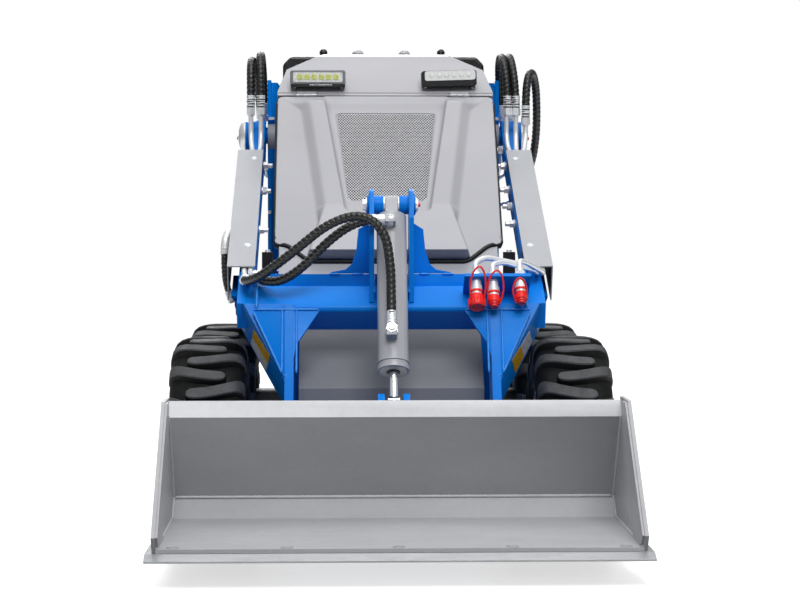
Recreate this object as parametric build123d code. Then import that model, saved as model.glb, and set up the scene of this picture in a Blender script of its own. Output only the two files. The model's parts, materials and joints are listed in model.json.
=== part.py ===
from build123d import *
import math
import os

# Stand-on wheeled mini loader, millimetres.
# X runs across the machine, -Y is the front (bucket), +Z is up, the floor is Z = 0.
# The origin is the bottom centre of the whole machine's box.

os.makedirs("parts", exist_ok=True)

# ---------------------------------------------------------------- main sizes
FRONT_Y = -975.0          # tip of the cutting edge
REAR_Y = 975.0            # rear edge of the operator platform

# wheels: 18 x 7 - 8
TYRE_R = 230.0
TYRE_W = 180.0
TYRE_BEAD_R = 105.0
TRACK_X = 432.5           # centre plane of each tyre
AXLE_Z = 230.0
AXLE_Y = (-140.0, 446.0)  # front, rear
SHAFT_R = 19.95
HUB_BORE_R = 20.0
MOTOR_R = 55.0

# lift arm geometry in the side view (Y, Z)
ARM_PIVOT = (580.0, 968.0)
KNEE = (-240.0, 533.0)          # centre of the cross tube
BUCKET_PIVOT = (-440.0, 165.0)
ARM_X = (324.0, 362.0)          # inner and outer face of an arm tube
ARM_HALF = 30.0                 # half the tube's height
PIN_R = 19.95
PIN_BORE_R = 20.0
CROSS_SIDE = 80.0               # square tube, turned 45 degrees
CROSS_WALL = 8.0
LEG_X = (228.0, 248.0)          # inner leg plate

# lift cylinders
LIFT_LOW = (600.0, 560.0)
LIFT_ARM_S = -100.0             # Y of the clevis foot on the arm centreline
LIFT_DROP = 90.0                # clevis pin below the arm centreline
LIFT_X = 352.0
LIFT_BARREL = (28.0, 22.0, 590.0)    # outer radius, bore radius, length from the rear pin
LIFT_ROD_R = 15.0

# tilt cylinder
TILT_TOP = (-235.0, 775.0)
TILT_EYE = (-465.0, 325.0)
TILT_BARREL = (35.0, 27.0, 425.0)
TILT_ROD_R = 11.5

# hood door: a plane through the hinge line, leaning back
HINGE = (335.0, 1067.0)
DOOR_DIR = (-0.6190, -0.7854)   # down the slope (Y, Z)
DOOR_OUT = (-0.7854, 0.6190)    # outward normal (Y, Z)
DOOR_T = 22.0

# bucket, inner profile (Y, Z)
BUCKET_HALF = 493.0
WALL = 8.0
BUCKET_IN = [(-949, 79), (-549, 81), (-500, 121), (-618, 312), (-604, 347)]

HOSE_R = 12.0
TUBE_R = 6.5


# ---------------------------------------------------------------- helpers
def yz(pts, x0, x1):
    """Side-view outline (Y, Z) pulled from x0 to x1."""
    face = make_face(Polyline(*[(float(a), float(b)) for a, b in pts], close=True))
    plane = Plane(origin=(x0, 0, 0), x_dir=(0, 1, 0), z_dir=(1, 0, 0))
    return extrude(plane * face, amount=x1 - x0, dir=(1, 0, 0))


def xz(pts, y0, y1):
    """Front-view outline (X, Z) pulled from y0 to y1."""
    face = make_face(Polyline(*[(float(a), float(b)) for a, b in pts], close=True))
    plane = Plane(origin=(0, y0, 0), x_dir=(1, 0, 0), z_dir=(0, -1, 0))
    return extrude(plane * face, amount=y1 - y0, dir=(0, 1, 0))


def block(x0, x1, y0, y1, z0, z1):
    return Pos((x0 + x1) / 2, (y0 + y1) / 2, (z0 + z1) / 2) * Box(x1 - x0, y1 - y0, z1 - z0)


def rod(p, q, r):
    """Cylinder of radius r from p to q."""
    p, q = Vector(*p), Vector(*q)
    plane = Plane(origin=p, z_dir=(q - p).normalized())
    return extrude(plane * Circle(r), amount=(q - p).length)


def xrod(x0, x1, y, z, r):
    return rod((x0, y, z), (x1, y, z), r)


def both(shape):
    """A left piece and its mirror image as one node of two solids."""
    return Compound(children=list(shape.solids()) + list(mirror(shape, about=Plane.YZ).solids()))


def several(*shapes):
    """Separate solids as one node."""
    return Compound(children=[solid for shape in shapes for solid in shape.solids()])


def other(shape):
    return mirror(shape, about=Plane.YZ)


def hose(points, r):
    """Tube along straight runs joined by tangent arcs; returns the solid and its arc radii."""
    v = [Vector(*p) for p in points]
    radii = []
    for a, b, c in zip(v, v[1:], v[2:]):
        turn = (b - a).get_angle(c - b)
        radii.append(0.45 * min((b - a).length, (c - b).length) / math.tan(math.radians(turn / 2)))
    path = FilletPolyline(*v, radius=radii) if radii else Line(v[0], v[1])
    start = Plane(origin=v[0], z_dir=(v[1] - v[0]).normalized())
    solid = sweep(start * Circle(r), path=path)
    return solid, radii, path.length


def slope(s, n=0.0):
    """Point in the side view: s down the hood door from the hinge, n outward."""
    return (HINGE[0] + DOOR_DIR[0] * s + DOOR_OUT[0] * n,
            HINGE[1] + DOOR_DIR[1] * s + DOOR_OUT[1] * n)


def hood_slab(pts, n0, n1):
    """Outline (X, s) in the hood door's plane, pulled from n0 to n1 along its outward normal."""
    face = make_face(Polyline(*[(float(a), -float(b)) for a, b in pts], close=True))
    o = slope(0, n0)
    plane = Plane(origin=(0, o[0], o[1]), x_dir=(1, 0, 0), z_dir=(0, DOOR_OUT[0], DOOR_OUT[1]))
    return extrude(plane * face, amount=n1 - n0, dir=(0, DOOR_OUT[0], DOOR_OUT[1]))


def unit(p, q):
    d = (q[0] - p[0], q[1] - p[1])
    n = math.hypot(*d)
    return (d[0] / n, d[1] / n)


def along(p, u, s, n=0.0):
    """Point s along unit u from p, and n to its left."""
    return (p[0] + u[0] * s - u[1] * n, p[1] + u[1] * s + u[0] * n)


parts = {}

# ---------------------------------------------------------------- chassis
side = yz([(-55, 150), (700, 150), (700, 600), (30, 600), (-8, 584), (-50, 556), (-55, 548)], 235, 255)
parts["side_plates"] = both(side)
nose = yz([(-250, 150), (-55, 150), (-55, 552), (-267, 340), (-267, 168)], 193, 213)
parts["nose_plates"] = both(nose)
lug = yz([(700, 262), (745, 262), (760, 280), (760, 320), (745, 338), (700, 338)], 235, 250)
lug -= xrod(230, 255, 730, 300, 13)
parts["tie_down_lugs"] = both(lug)
# front bulkhead, rear bulkhead and the plate across the nose
parts["bulkheads"] = several(
    block(-235, 235, -55, -43, 150, 548),
    block(-235, 235, 688, 700, 150, 600),
    block(-193, 193, -267, -257, 168, 338))
parts["frame_floor"] = several(
    block(-235, 235, -43, 688, 150, 160),
    block(-193, 193, -248, -55, 150, 160))

# bent sheet between the arm legs
parts["front_plate"] = yz([(-275, 175), (-275, 346), (-26, 595), (-20, 589), (-267.3, 341.7), (-267.3, 175)], -218, 218)

parts["engine_block"] = block(-180, 180, 120, 500, 300, 640)

# pivot towers: side plate, cross web, foot and pin bosses
tower = yz([(556, 480), (690, 480), (690, 700), (640, 1010), (608, 1100), (585, 1122), (556, 1122)], 308, 318)
tower += xz([(270.2, 620), (309, 620), (309, 1118), (292, 1118), (278, 1100), (278, 1033), (270.2, 1030)], 556.2, 568)
tower += block(255, 309, 610, 688, 470, 598)
tower += xrod(271, 318, ARM_PIVOT[0], ARM_PIVOT[1], 40)
tower += xrod(271, 318, LIFT_LOW[0], LIFT_LOW[1], 30)
tower -= xrod(290, 330, ARM_PIVOT[0], ARM_PIVOT[1], PIN_BORE_R)
tower -= xrod(290, 330, LIFT_LOW[0], LIFT_LOW[1], 15)
parts["pivot_towers"] = both(tower)

pin = xrod(290, 366.2, ARM_PIVOT[0], ARM_PIVOT[1], PIN_R) + xrod(366, 388, ARM_PIVOT[0], ARM_PIVOT[1], 43)
low = xrod(290, 374.2, LIFT_LOW[0], LIFT_LOW[1], 14.95) + xrod(374, 382, LIFT_LOW[0], LIFT_LOW[1], 24)
pins = pin.solids() + low.solids()
parts["pivot_pins"] = Compound(children=list(pins) + [other(p).solids()[0] for p in pins])

# grey side panels under the hood line
panel = yz([slope(22, -31), slope(566, -31), (14, 601), (700, 601), (700, 1034), (352, 1034)], 250, 270)
parts["left_side_panel"] = other(panel)
parts["right_side_panel"] = panel

parts["hood_surround"] = hood_slab([(-272, 588), (-272, 497), (-240, 503), (-180, 552), (180, 552), (240, 503),
                                    (272, 497), (272, 588)], -22, 0)

# upper cowl: front-view outline cut with the side-view outline, hollow below
COWL_SIDE = [(364, 1035), (356, 1060), (346, 1075), (350, 1080), (452, 1178), (475, 1186), (556, 1188), (556, 1035)]
COWL_FRONT = [(-285, 1030), (-285, 1076), (-262, 1140), (-165, 1186), (-150, 1200), (150, 1200), (165, 1186),
              (262, 1140), (285, 1076), (285, 1030)]
COWL_SIDE_IN = [(376, 1020), (376, 1062), (364, 1078), (456, 1166), (478, 1174), (544, 1176), (544, 1020)]
COWL_FRONT_IN = [(-273, 1020), (-273, 1074), (-252, 1132), (-160, 1176), (160, 1176), (252, 1132), (273, 1074),
                 (273, 1020)]
cowl = yz(COWL_SIDE, -300, 300) & xz(COWL_FRONT, 300, 700)
cowl -= yz(COWL_SIDE_IN, -299, 299) & xz(COWL_FRONT_IN, 300, 700)
for x0, x1 in ((-234, -181), (171, 220)):      # hinge knuckles and their leaves
    cowl += xrod(x0, x1, *HINGE, 4.8) + yz([(333, 1070), (338, 1064), (352, 1074), (348, 1080)], x0, x1)
parts["upper_cowl"] = cowl

lamps = []
for cx in (-178, 168):
    lamp = block(cx - 73, cx + 73, 336, 364, 1091, 1134) + block(cx - 30, cx + 30, 360, 400, 1098, 1108)
    lamps.append((lamp - yz(COWL_SIDE, -300, 300)).solids().sort_by(Axis.Y)[0])
parts["work_lights"] = Compound(children=lamps)

console = yz([(558, 1036), (558, 1186), (600, 1190), (700, 1125), (700, 1036)], -276, 276)
console &= xz([(-276, 1036), (-276, 1165), (-250, 1191), (250, 1191), (276, 1165), (276, 1036)], 500, 720)
parts["control_console"] = console

levers = []
for cx in (-165, 160):
    levers.append(rod((cx, 628, 1171), (cx, 608, 1205), 5) + Pos(cx, 606, 1207) * Sphere(11))
for cx in (-70, 58):
    levers.append(rod((cx, 588, 1188.9), (cx, 588, 1201), 13))
parts["control_levers"] = Compound(children=[s for lv in levers for s in (lv - console).solids()[:1]])

parts["rear_panel"] = block(-249, 249, 700.2, 712, 345, 1030)
bar = rod((-205, 712, 985), (-205, 770, 985), 11) + rod((-205, 770, 985), (205, 770, 985), 11)
bar += rod((205, 770, 985), (205, 712, 985), 11)
bar += Pos(-205, 770, 985) * Sphere(11) + Pos(205, 770, 985) * Sphere(11)
parts["grab_bar"] = bar

platform = block(-225, 225, 765, REAR_Y, 205, 213) + block(-225, 225, 765, 771, 213, 240)
platform += block(-225, -219, 765, REAR_Y, 185, 240) + block(219, 225, 765, REAR_Y, 185, 240)
platform += block(-225, 225, REAR_Y - 6, REAR_Y, 185, 222)
for cx in (-180, 180):
    platform += block(cx - 8, cx + 8, 700.2, 768, 186, 230)
parts["operator_platform"] = platform

motors = []
for y, x0 in ((AXLE_Y[0], 213.0), (AXLE_Y[1], 255.0)):
    m = xrod(x0, 372, y, AXLE_Z, MOTOR_R) + xrod(372, 444, y, AXLE_Z, SHAFT_R)
    motors += [m.solids()[0], other(m).solids()[0]]
parts["wheel_motors"] = Compound(children=motors)

# ---------------------------------------------------------------- wheels
# half section of the tyre: distance from its centre plane, radius
TYRE_SECTION = [(-74, 105), (-88, 118), (-90, 180), (-86, 205), (-70, 221), (-38, 229), (0, 230), (38, 229),
                (70, 221), (86, 205), (90, 180), (88, 118), (74, 105)]
# rim: barrel, disc and hub, same columns, outboard is +
RIM_SECTION = [(-75, 104.8), (-75, 96), (0, 92), (0, 45), (-54, 45), (-54, HUB_BORE_R), (16, HUB_BORE_R), (16, 45),
               (9, 45), (9, 92), (75, 96), (75, 104.8)]


def wheel(section, y):
    face = make_face(Polyline(*[(float(a), float(b)) for a, b in section], close=True))
    plane = Plane(origin=(TRACK_X, y, AXLE_Z), x_dir=(1, 0, 0), z_dir=(0, -1, 0))
    return revolve(plane * face, axis=Axis((TRACK_X, y, AXLE_Z), (1, 0, 0)), revolution_arc=360)


for end, y in (("front", AXLE_Y[0]), ("rear", AXLE_Y[1])):
    tyre, rim = wheel(TYRE_SECTION, y), wheel(RIM_SECTION, y)
    parts[f"right_{end}_tyre"], parts[f"left_{end}_tyre"] = tyre, other(tyre)
    parts[f"right_{end}_rim"], parts[f"left_{end}_rim"] = rim, other(rim)

# ---------------------------------------------------------------- lift arms
u = unit(ARM_PIVOT, KNEE)                 # from the pivot forward along the arm
ARM_LEN = math.dist(ARM_PIVOT, KNEE)
lift_pin = along(along(ARM_PIVOT, u, (ARM_PIVOT[0] - LIFT_ARM_S) / -u[0]), u, 0, LIFT_DROP)
arm = yz([along(ARM_PIVOT, u, 0, -ARM_HALF), along(ARM_PIVOT, u, ARM_LEN + 30, -ARM_HALF),
          along(ARM_PIVOT, u, ARM_LEN + 44, ARM_HALF), along(ARM_PIVOT, u, 0, ARM_HALF)], *ARM_X)
arm += xrod(ARM_X[0], ARM_X[1], *ARM_PIVOT, 44)
# clevis for the lift rod: saddle and two cheeks under the arm
foot = along(ARM_PIVOT, u, (ARM_PIVOT[0] - LIFT_ARM_S) / -u[0])
arm += yz([along(foot, u, -50, ARM_HALF), along(foot, u, 50, ARM_HALF), along(foot, u, 50, ARM_HALF + 8),
           along(foot, u, -50, ARM_HALF + 8)], 322, 382)
for x0, x1 in ((322, 331), (373, 382)):
    arm += yz([along(foot, u, -48, ARM_HALF + 7), along(foot, u, 48, ARM_HALF + 7), along(foot, u, 26, LIFT_DROP + 12),
               along(foot, u, 0, LIFT_DROP + 28), along(foot, u, -26, LIFT_DROP + 12)], x0, x1)
arm += xrod(315, 322, *lift_pin, 20) + xrod(382, 388, *lift_pin, 20)
arm -= xrod(310, 370, *ARM_PIVOT, PIN_BORE_R)
parts["left_arm"], parts["right_arm"] = other(arm), arm

h = CROSS_SIDE / 2
tube_face = RectangleRounded(CROSS_SIDE, CROSS_SIDE, 12) - RectangleRounded(CROSS_SIDE - 2 * CROSS_WALL,
                                                                          CROSS_SIDE - 2 * CROSS_WALL, 5)
tube_plane = Plane(origin=(-323.8, *KNEE), x_dir=(0, 1, 1), z_dir=(1, 0, 0))
outer_tube = extrude(tube_plane * RectangleRounded(CROSS_SIDE, CROSS_SIDE, 12), amount=647.6, dir=(1, 0, 0))
cross = extrude(tube_plane * tube_face, amount=647.6, dir=(1, 0, 0))
cross += block(-292, 292, -222, -214, 552, 612)              # rear flange
cross += block(-292, 292, -222, -190, 548, 556) - outer_tube
parts["cross_tube"] = cross

# legs: inner plate, slanted outer box, front gusset
profile = [(-280, 545), (-309, 545), (-474, 190), (-476, 165), (-404, 150), (-230, 468), (-214, 510)]
inner = yz(profile, *LEG_X) + xrod(LEG_X[0], LEG_X[1], *BUCKET_PIVOT, 38) + xrod(222, 254, *BUCKET_PIVOT, 30)
core = yz([(-276, 545), (-297, 545), (-438, 243), (-386, 200), (-234, 476), (-222, 508)], 240, 361)
# the outer face leans in, forward and down
n_face = Vector(0.871, -0.387, -0.301).normalized()
cutter = Plane(origin=(343, -285, 525), z_dir=n_face) * Pos(0, 0, 250) * Box(900, 900, 500)
core = core - cutter
front_u = unit((-302, 560), (-474, 190))
gusset_plane = Plane(origin=(0, -300, 560), x_dir=(1, 0, 0), z_dir=(0, front_u[1], -front_u[0]))
g = make_face(Polyline((168, -32), (322, -32), (252, -190), (236, -196), (222, -118), close=True))
gusset = extrude(gusset_plane * g, amount=-10)
leg = inner + core + gusset
leg = leg - outer_tube - xrod(200, 280, *BUCKET_PIVOT, 16) - arm
leg = leg.solids().sort_by(SortBy.VOLUME)[-1]
parts["left_leg"], parts["right_leg"] = other(leg), leg

# tower for the tilt cylinder
ear = yz([(-286, 548), (-286, 745), (-266, 806), (-250, 812), (-216, 812), (-205, 800), (-194, 730), (-196, 560)], 41, 52)
ear += xrod(19, 41, *TILT_TOP, 22) + xrod(52, 57, *TILT_TOP, 24)
wing = xz([(51, 560), (51, 735), (62, 727), (77, 718), (82, 668), (92, 636), (108, 622), (142, 616), (150, 606),
           (155, 576), (155, 560)], -204, -195)
tt = ear + wing
tilt_tower = tt + other(tt) + xrod(-58, 58, *TILT_TOP, 14.95)
tilt_tower = tilt_tower - outer_tube - block(-330, 330, -223, -189, 540, 613)
tilt_tower = tilt_tower.solids().sort_by(SortBy.VOLUME)[-1]
parts["tilt_tower"] = tilt_tower

# folded sheet covers over the tubes on the arms
c0, c1 = (ARM_PIVOT[0] - 420) / -u[0], (ARM_PIVOT[0] + 140) / -u[0]
cover = yz([along(ARM_PIVOT, u, c0, -46), along(ARM_PIVOT, u, c1, -46), along(ARM_PIVOT, u, c1, -49),
            along(ARM_PIVOT, u, c0, -49)], 324, 391)
cover += yz([along(ARM_PIVOT, u, c0 + 30, 34), along(ARM_PIVOT, u, c1 + 10, 40), along(ARM_PIVOT, u, c1, -49),
             along(ARM_PIVOT, u, c0, -49)], 388, 391)
cover += yz([along(ARM_PIVOT, u, c0 + 60, -30), along(ARM_PIVOT, u, c0 + 100, -30), along(ARM_PIVOT, u, c0 + 100, -47),
             along(ARM_PIVOT, u, c0 + 60, -47)], 324, 327)
cover += yz([along(ARM_PIVOT, u, c1 - 100, -30), along(ARM_PIVOT, u, c1 - 60, -30), along(ARM_PIVOT, u, c1 - 60, -47),
             along(ARM_PIVOT, u, c1 - 100, -47)], 324, 327)
cover = both(cover)
# elbow block of the left lift hose, on the cover's outer flange
LIFT_HOSE = [(-404.5, -52, 664), (-404.5, -60, 628), (-404.5, -77, 590), (-404.5, -98, 550)]
la, lz = unit(LIFT_HOSE[0][1:], LIFT_HOSE[1][1:]), unit(LIFT_HOSE[2][1:], LIFT_HOSE[3][1:])


def square_block(p, d, s0, s1, half, x0, x1):
    """Block of width 2 half along d from p, between x0 and x1."""
    return yz([along(p, d, s0, -half), along(p, d, s1, -half), along(p, d, s1, half), along(p, d, s0, half)], x0, x1)


elbow = square_block(LIFT_HOSE[0][1:], la, -38, 0, 13, -418, -391)
parts["tube_covers"] = Compound(children=[(s + elbow).solids()[0] if s.center().X < 0 else s for s in cover.solids()])
port = square_block(LIFT_HOSE[3][1:], lz, 0, 20, 13, -418, -382)
parts["left_arm"] = parts["left_arm"] + port

# steel tubes under the covers: x at the front, x at the top, front end (X, Y, Z)
def on_arm(x, y, n=37.5):
    p = along(ARM_PIVOT, u, (ARM_PIVOT[0] - y) / -u[0])
    q = along(p, u, 0, -n)
    return (x, q[0], q[1])


CO = (-0.55, -0.8352)                 # (Y, Z) direction of a coupler
COUPLERS = [(196, -332, 557), (236, -332, 554), (299, -332, 562)]


def coupler_at(k, s):
    cx, cy, cz = COUPLERS[k]
    return (cx, cy + CO[0] * s, cz + CO[1] * s)


# under the cover, at the top, then the points beyond the cover
TUBES = [(-350, -359, [(-345, -192, 602), (-345, -212, 600)]),
         (-335, -332, [(-321, -192, 611), (-320.5, -211, 608)]),
         (337, 329.5, [(331, -205, 630), (222, -258, 652), coupler_at(0, -100), coupler_at(0, -75)]),
         (351.5, 355, [(345, -205, 620), (262, -256, 641), coupler_at(1, -98), coupler_at(1, -75)]),
         (366, 381.5, [(360, -205, 618), (312, -262, 642), coupler_at(2, -98), coupler_at(2, -75)])]
tube_solids = []
for xf, xt, rest in TUBES:
    pts = [(xt, 452, 1030), (xt, 452, 948), on_arm(xf, 400), on_arm(xf, -156)] + rest
    s, rr, ln = hose(pts, TUBE_R)
    tube_solids.append(s.solids()[0])
parts["arm_tubes"] = Compound(children=tube_solids)

# coupler bracket and three flat-face couplers with caps, pointing down and forward
cu = (CO[1], -CO[0])
plate_c = (-332 - CO[0] * 50, 559 - CO[1] * 50)
bracket = yz([(plate_c[0] + cu[0] * 22 + CO[0] * 4, plate_c[1] + cu[1] * 22 + CO[1] * 4),
              (plate_c[0] + cu[0] * 22 - CO[0] * 4, plate_c[1] + cu[1] * 22 - CO[1] * 4),
              (plate_c[0] - cu[0] * 66 - CO[0] * 4, plate_c[1] - cu[1] * 66 - CO[1] * 4),
              (plate_c[0] - cu[0] * 66 + CO[0] * 4, plate_c[1] - cu[1] * 66 + CO[1] * 4)], 168, 323)
couplers = []
for cx, cy, cz in COUPLERS:
    a = (cx, cy - CO[0] * 75, cz - CO[1] * 75)
    b = (cx, cy - CO[0] * 24, cz - CO[1] * 24)
    c = (cx, cy + CO[0] * 24, cz + CO[1] * 24)
    couplers.append((rod(a, b, 12) + rod(b, c, 19)).solids()[0])
    bracket -= rod(a, c, 12.0)
bracket = (bracket - outer_tube).solids().sort_by(SortBy.VOLUME)[-1]
parts["coupler_bracket"] = bracket
parts["hydraulic_couplers"] = Compound(children=couplers)

# ---------------------------------------------------------------- cylinders
def cylinder(base, eye, barrel, rod_r, x, eye_x, base_eye_r, rod_eye_r, pin_bore, piston_at, neck):
    """Barrel with its base eye, and rod with piston and eye, in the plane X = x."""
    r_out, r_in, length = barrel
    w = unit(base, eye)
    total = math.dist(base, eye)

    def at(s):
        q = along(base, w, s)
        return (x, q[0], q[1])
    b = rod(at(neck), at(length), r_out) + rod(at(length - 14), at(length), r_out + 2)
    b += xrod(x - eye_x, x + eye_x, *base, base_eye_r)
    b += yz([along(base, w, 0, -base_eye_r), along(base, w, neck + 1, -base_eye_r), along(base, w, neck + 1, base_eye_r),
             along(base, w, 0, base_eye_r)], x - eye_x, x + eye_x)
    b -= rod(at(neck + 14), at(length - 22), r_in)
    b -= rod(at(length - 23), at(length + 1), rod_r + 0.05)
    b -= xrod(x - eye_x - 1, x + eye_x + 1, *base, pin_bore)
    r = rod(at(piston_at), at(piston_at + 24), r_in - 0.1) + rod(at(piston_at), at(total - 4), rod_r)
    r += xrod(x - eye_x + 1, x + eye_x - 1, *eye, rod_eye_r)
    return b, r


lb, lr = cylinder(LIFT_LOW, lift_pin, LIFT_BARREL, LIFT_ROD_R, LIFT_X, 16, 26, 24, 15, 62, 34)
parts["left_lift_barrel"], parts["right_lift_barrel"] = other(lb), lb
parts["left_lift_rod"], parts["right_lift_rod"] = other(lr), lr
tb, tr = cylinder(TILT_TOP, TILT_EYE, TILT_BARREL, TILT_ROD_R, 0, 14.5, 22, 19, 15, 80, 32)
w = unit(TILT_TOP, TILT_EYE)
for s0, s1 in ((50, 74), (336, 360)):           # port blocks, top and low
    tb += yz([along(TILT_TOP, w, s0, -30), along(TILT_TOP, w, s1, -30), along(TILT_TOP, w, s1, -61),
              along(TILT_TOP, w, s0, -61)], -16, 8)
TOP_PORT, LOW_PORT = along(TILT_TOP, w, 62, -46), along(TILT_TOP, w, 336, -48.5)
parts["tilt_barrel"], parts["tilt_rod"] = tb, tr

# ---------------------------------------------------------------- bucket
def offset_line(pts, d):
    """The open profile moved d outward (below and behind)."""
    out = []
    for i, p in enumerate(pts):
        if i == 0:
            u1 = unit(pts[0], pts[1])
            out.append(along(p, u1, 0, -d))
        elif i == len(pts) - 1:
            u1 = unit(pts[-2], pts[-1])
            out.append(along(p, u1, 0, -d))
        else:
            u1, u2 = unit(pts[i - 1], p), unit(p, pts[i + 1])
            n1, n2 = (u1[1], -u1[0]), (u2[1], -u2[0])
            k = d / (1 + n1[0] * n2[0] + n1[1] * n2[1])
            out.append((p[0] + (n1[0] + n2[0]) * k, p[1] + (n1[1] + n2[1]) * k))
    return out


shell = yz(BUCKET_IN + offset_line(BUCKET_IN, WALL)[::-1], -BUCKET_HALF, BUCKET_HALF)
cheek = yz([(-943, 71), (-962, 104), (-704, 354), (-592, 354), (-608, 312), (-490, 122), (-543, 71)], BUCKET_HALF, BUCKET_HALF + 8)
parts["bucket"] = shell + cheek + other(cheek)
parts["cutting_edge"] = yz([(FRONT_Y, 55), (FRONT_Y, 59), (-952, 70.5), (-830, 70.5), (-830, 55)], -515, 515)

bu = unit(BUCKET_IN[2], BUCKET_IN[3])       # up the back wall


def back(s, n):
    return along(BUCKET_IN[2], bu, s, -n)


hitch = yz([back(22, 8.2), back(212, 8.2), back(212, 20), back(22, 20)], -290, 290)
for x0, x1 in ((200, 212), (262, 274)):
    e = yz([back(26, 19), back(128, 19), (-452, 197), (-414, 178), (-416, 146), (-436, 134)], x0, x1) + xrod(x0, x1, *BUCKET_PIVOT, 31)
    hitch += e + other(e)
p = xrod(200, 280, *BUCKET_PIVOT, 15.95)
hitch += p + other(p)
e = yz([back(118, 19), back(208, 19), (-474, 348), (-444, 336), (-442, 312), (-470, 300)], 21, 31) + xrod(21, 36, *TILT_EYE, 24)
hitch += e + other(e)
parts["hitch_plate"] = hitch

# ---------------------------------------------------------------- hood door
GRILLE = [(-126.5, 61), (126.5, 61), (97.5, 355), (-97.5, 355)]
door = hood_slab([(-283, 6), (283, 6), (283, 490), (243, 496), (183, 545), (-183, 545), (-243, 496), (-283, 490)], -DOOR_T, 0)
door += hood_slab([(-214, 34), (214, 34), (168, 440), (-168, 440)], -1, 16)
door -= hood_slab([(-165, 20), (165, 20), (112, 386), (-112, 386)], 0, 20)
door -= hood_slab(GRILLE, -DOOR_T - 1, 20)
door -= hood_slab([(-262, 30), (262, 30), (240, 470), (-240, 470)], -DOOR_T - 1, -10)
parts["hood_door"] = door
parts["hood_grille"] = hood_slab([(-126.3, 61.2), (126.3, 61.2), (97.3, 354.8), (-97.3, 354.8)], -9.8, -6)

# ---------------------------------------------------------------- hoses
# each row: name, points of the route (X, Y, Z)
HOSES = [
    ("tilt_hose_lower", [(-345, -212, 600), (-345, -242, 597), (-331, -276, 598), (-302, -318, 611),
                         (-226, -347, 668), (-148, -354, 733), (-70, -354, 756), (-18, -362, 716), (-5, -380, 640),
                         (-4, LOW_PORT[0] - 70 * w[0], LOW_PORT[1] - 70 * w[1]), (-4, *LOW_PORT)]),
    ("tilt_hose_upper", [(-320.5, -211, 608), (-319.8, -237.6, 603.8), (-305, -266, 600), (-262, -298, 594),
                         (-206, -318, 630), (-158, -322, 682), (-108, -318, 722), (-62, *TOP_PORT), (-16, *TOP_PORT)]),
    ("left_loop_outer", [(-359, 452, 1030), (-359, 452, 1100), (-357, 474, 1166), (-355, 536, 1188), (-350, 596, 1160),
                         (-345, 620, 1096), (-338, 626, 1020)]),
    ("left_loop_inner", [(-332, 452, 1030), (-332, 452, 1112), (-331, 476, 1182), (-331, 540, 1202), (-330, 600, 1174),
                         (-330, 632, 1110), (-331, 648, 1036)]),
    ("right_loop_inner", [(329.5, 452, 1030), (329.5, 452, 1110), (327, 476, 1180), (326, 540, 1200), (326, 600, 1170),
                          (328, 632, 1106), (331, 648, 1032)]),
    ("right_loop_middle", [(355, 452, 1030), (355, 452, 1106), (353, 474, 1174), (352, 540, 1198), (352, 594, 1166),
                           (353, 618, 1100), (353, 624, 1024)]),
    ("right_loop_outer", [(381.5, 452, 1030), (381.5, 452, 1084), (391, 468, 1134), (407, 506, 1150), (421, 548, 1114),
                          (425, 575, 1046), (424, 594, 968), (415, 618, 896), (392, 640, 836)]),
    ("left_lift_hose", LIFT_HOSE),
]
for name, pts in HOSES:
    s, rr, ln = hose(pts, HOSE_R)
    print(name, "radii", [round(r) for r in rr], "length", round(ln), "volume ratio",
          round(s.volume / (math.pi * HOSE_R ** 2 * ln), 4))
    parts[name] = s

for name, shape in parts.items():
    export_step(shape, f"parts/{name}.step")
    print(name, len(shape.solids()), round(shape.volume / 1e3), "cm3")
print(len(parts), "nodes; lift pin", lift_pin)
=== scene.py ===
import json
import math

import bmesh
import bpy
from mathutils import Matrix, Vector

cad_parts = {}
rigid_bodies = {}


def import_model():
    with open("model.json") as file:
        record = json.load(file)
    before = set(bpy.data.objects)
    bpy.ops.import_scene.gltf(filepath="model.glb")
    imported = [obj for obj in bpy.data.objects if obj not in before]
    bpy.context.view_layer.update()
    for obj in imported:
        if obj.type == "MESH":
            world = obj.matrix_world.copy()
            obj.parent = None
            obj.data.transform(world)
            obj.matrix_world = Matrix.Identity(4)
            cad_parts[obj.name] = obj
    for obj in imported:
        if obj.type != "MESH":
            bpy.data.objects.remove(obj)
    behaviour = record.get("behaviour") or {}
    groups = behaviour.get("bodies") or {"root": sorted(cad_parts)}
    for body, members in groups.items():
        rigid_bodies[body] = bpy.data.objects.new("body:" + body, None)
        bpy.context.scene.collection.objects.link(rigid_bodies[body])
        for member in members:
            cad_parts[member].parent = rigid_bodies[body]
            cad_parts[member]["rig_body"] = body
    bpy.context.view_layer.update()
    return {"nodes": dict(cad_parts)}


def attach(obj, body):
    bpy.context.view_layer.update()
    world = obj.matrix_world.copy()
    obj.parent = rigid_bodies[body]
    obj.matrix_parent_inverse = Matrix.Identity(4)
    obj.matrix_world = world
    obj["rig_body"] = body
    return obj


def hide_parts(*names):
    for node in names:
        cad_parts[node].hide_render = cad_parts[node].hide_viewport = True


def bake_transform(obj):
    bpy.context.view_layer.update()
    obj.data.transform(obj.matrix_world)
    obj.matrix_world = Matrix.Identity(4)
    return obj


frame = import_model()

scene = bpy.context.scene
NODES = frame["nodes"]
MM = 0.001
TAU = 2 * math.pi

# ------------------------------------------------------------------ camera
camera_data = bpy.data.cameras.new("camera")
camera_data.sensor_width, camera_data.lens = 36.0, 90.0
camera_data.clip_start, camera_data.clip_end = 0.05, 100.0
camera = bpy.data.objects.new("camera", camera_data)
camera.location = (-0.125, -4.953, 0.7445)
camera.rotation_euler = (math.radians(90 - 2.348), 0.0, -0.0309)
scene.collection.objects.link(camera)
scene.camera = camera


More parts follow.
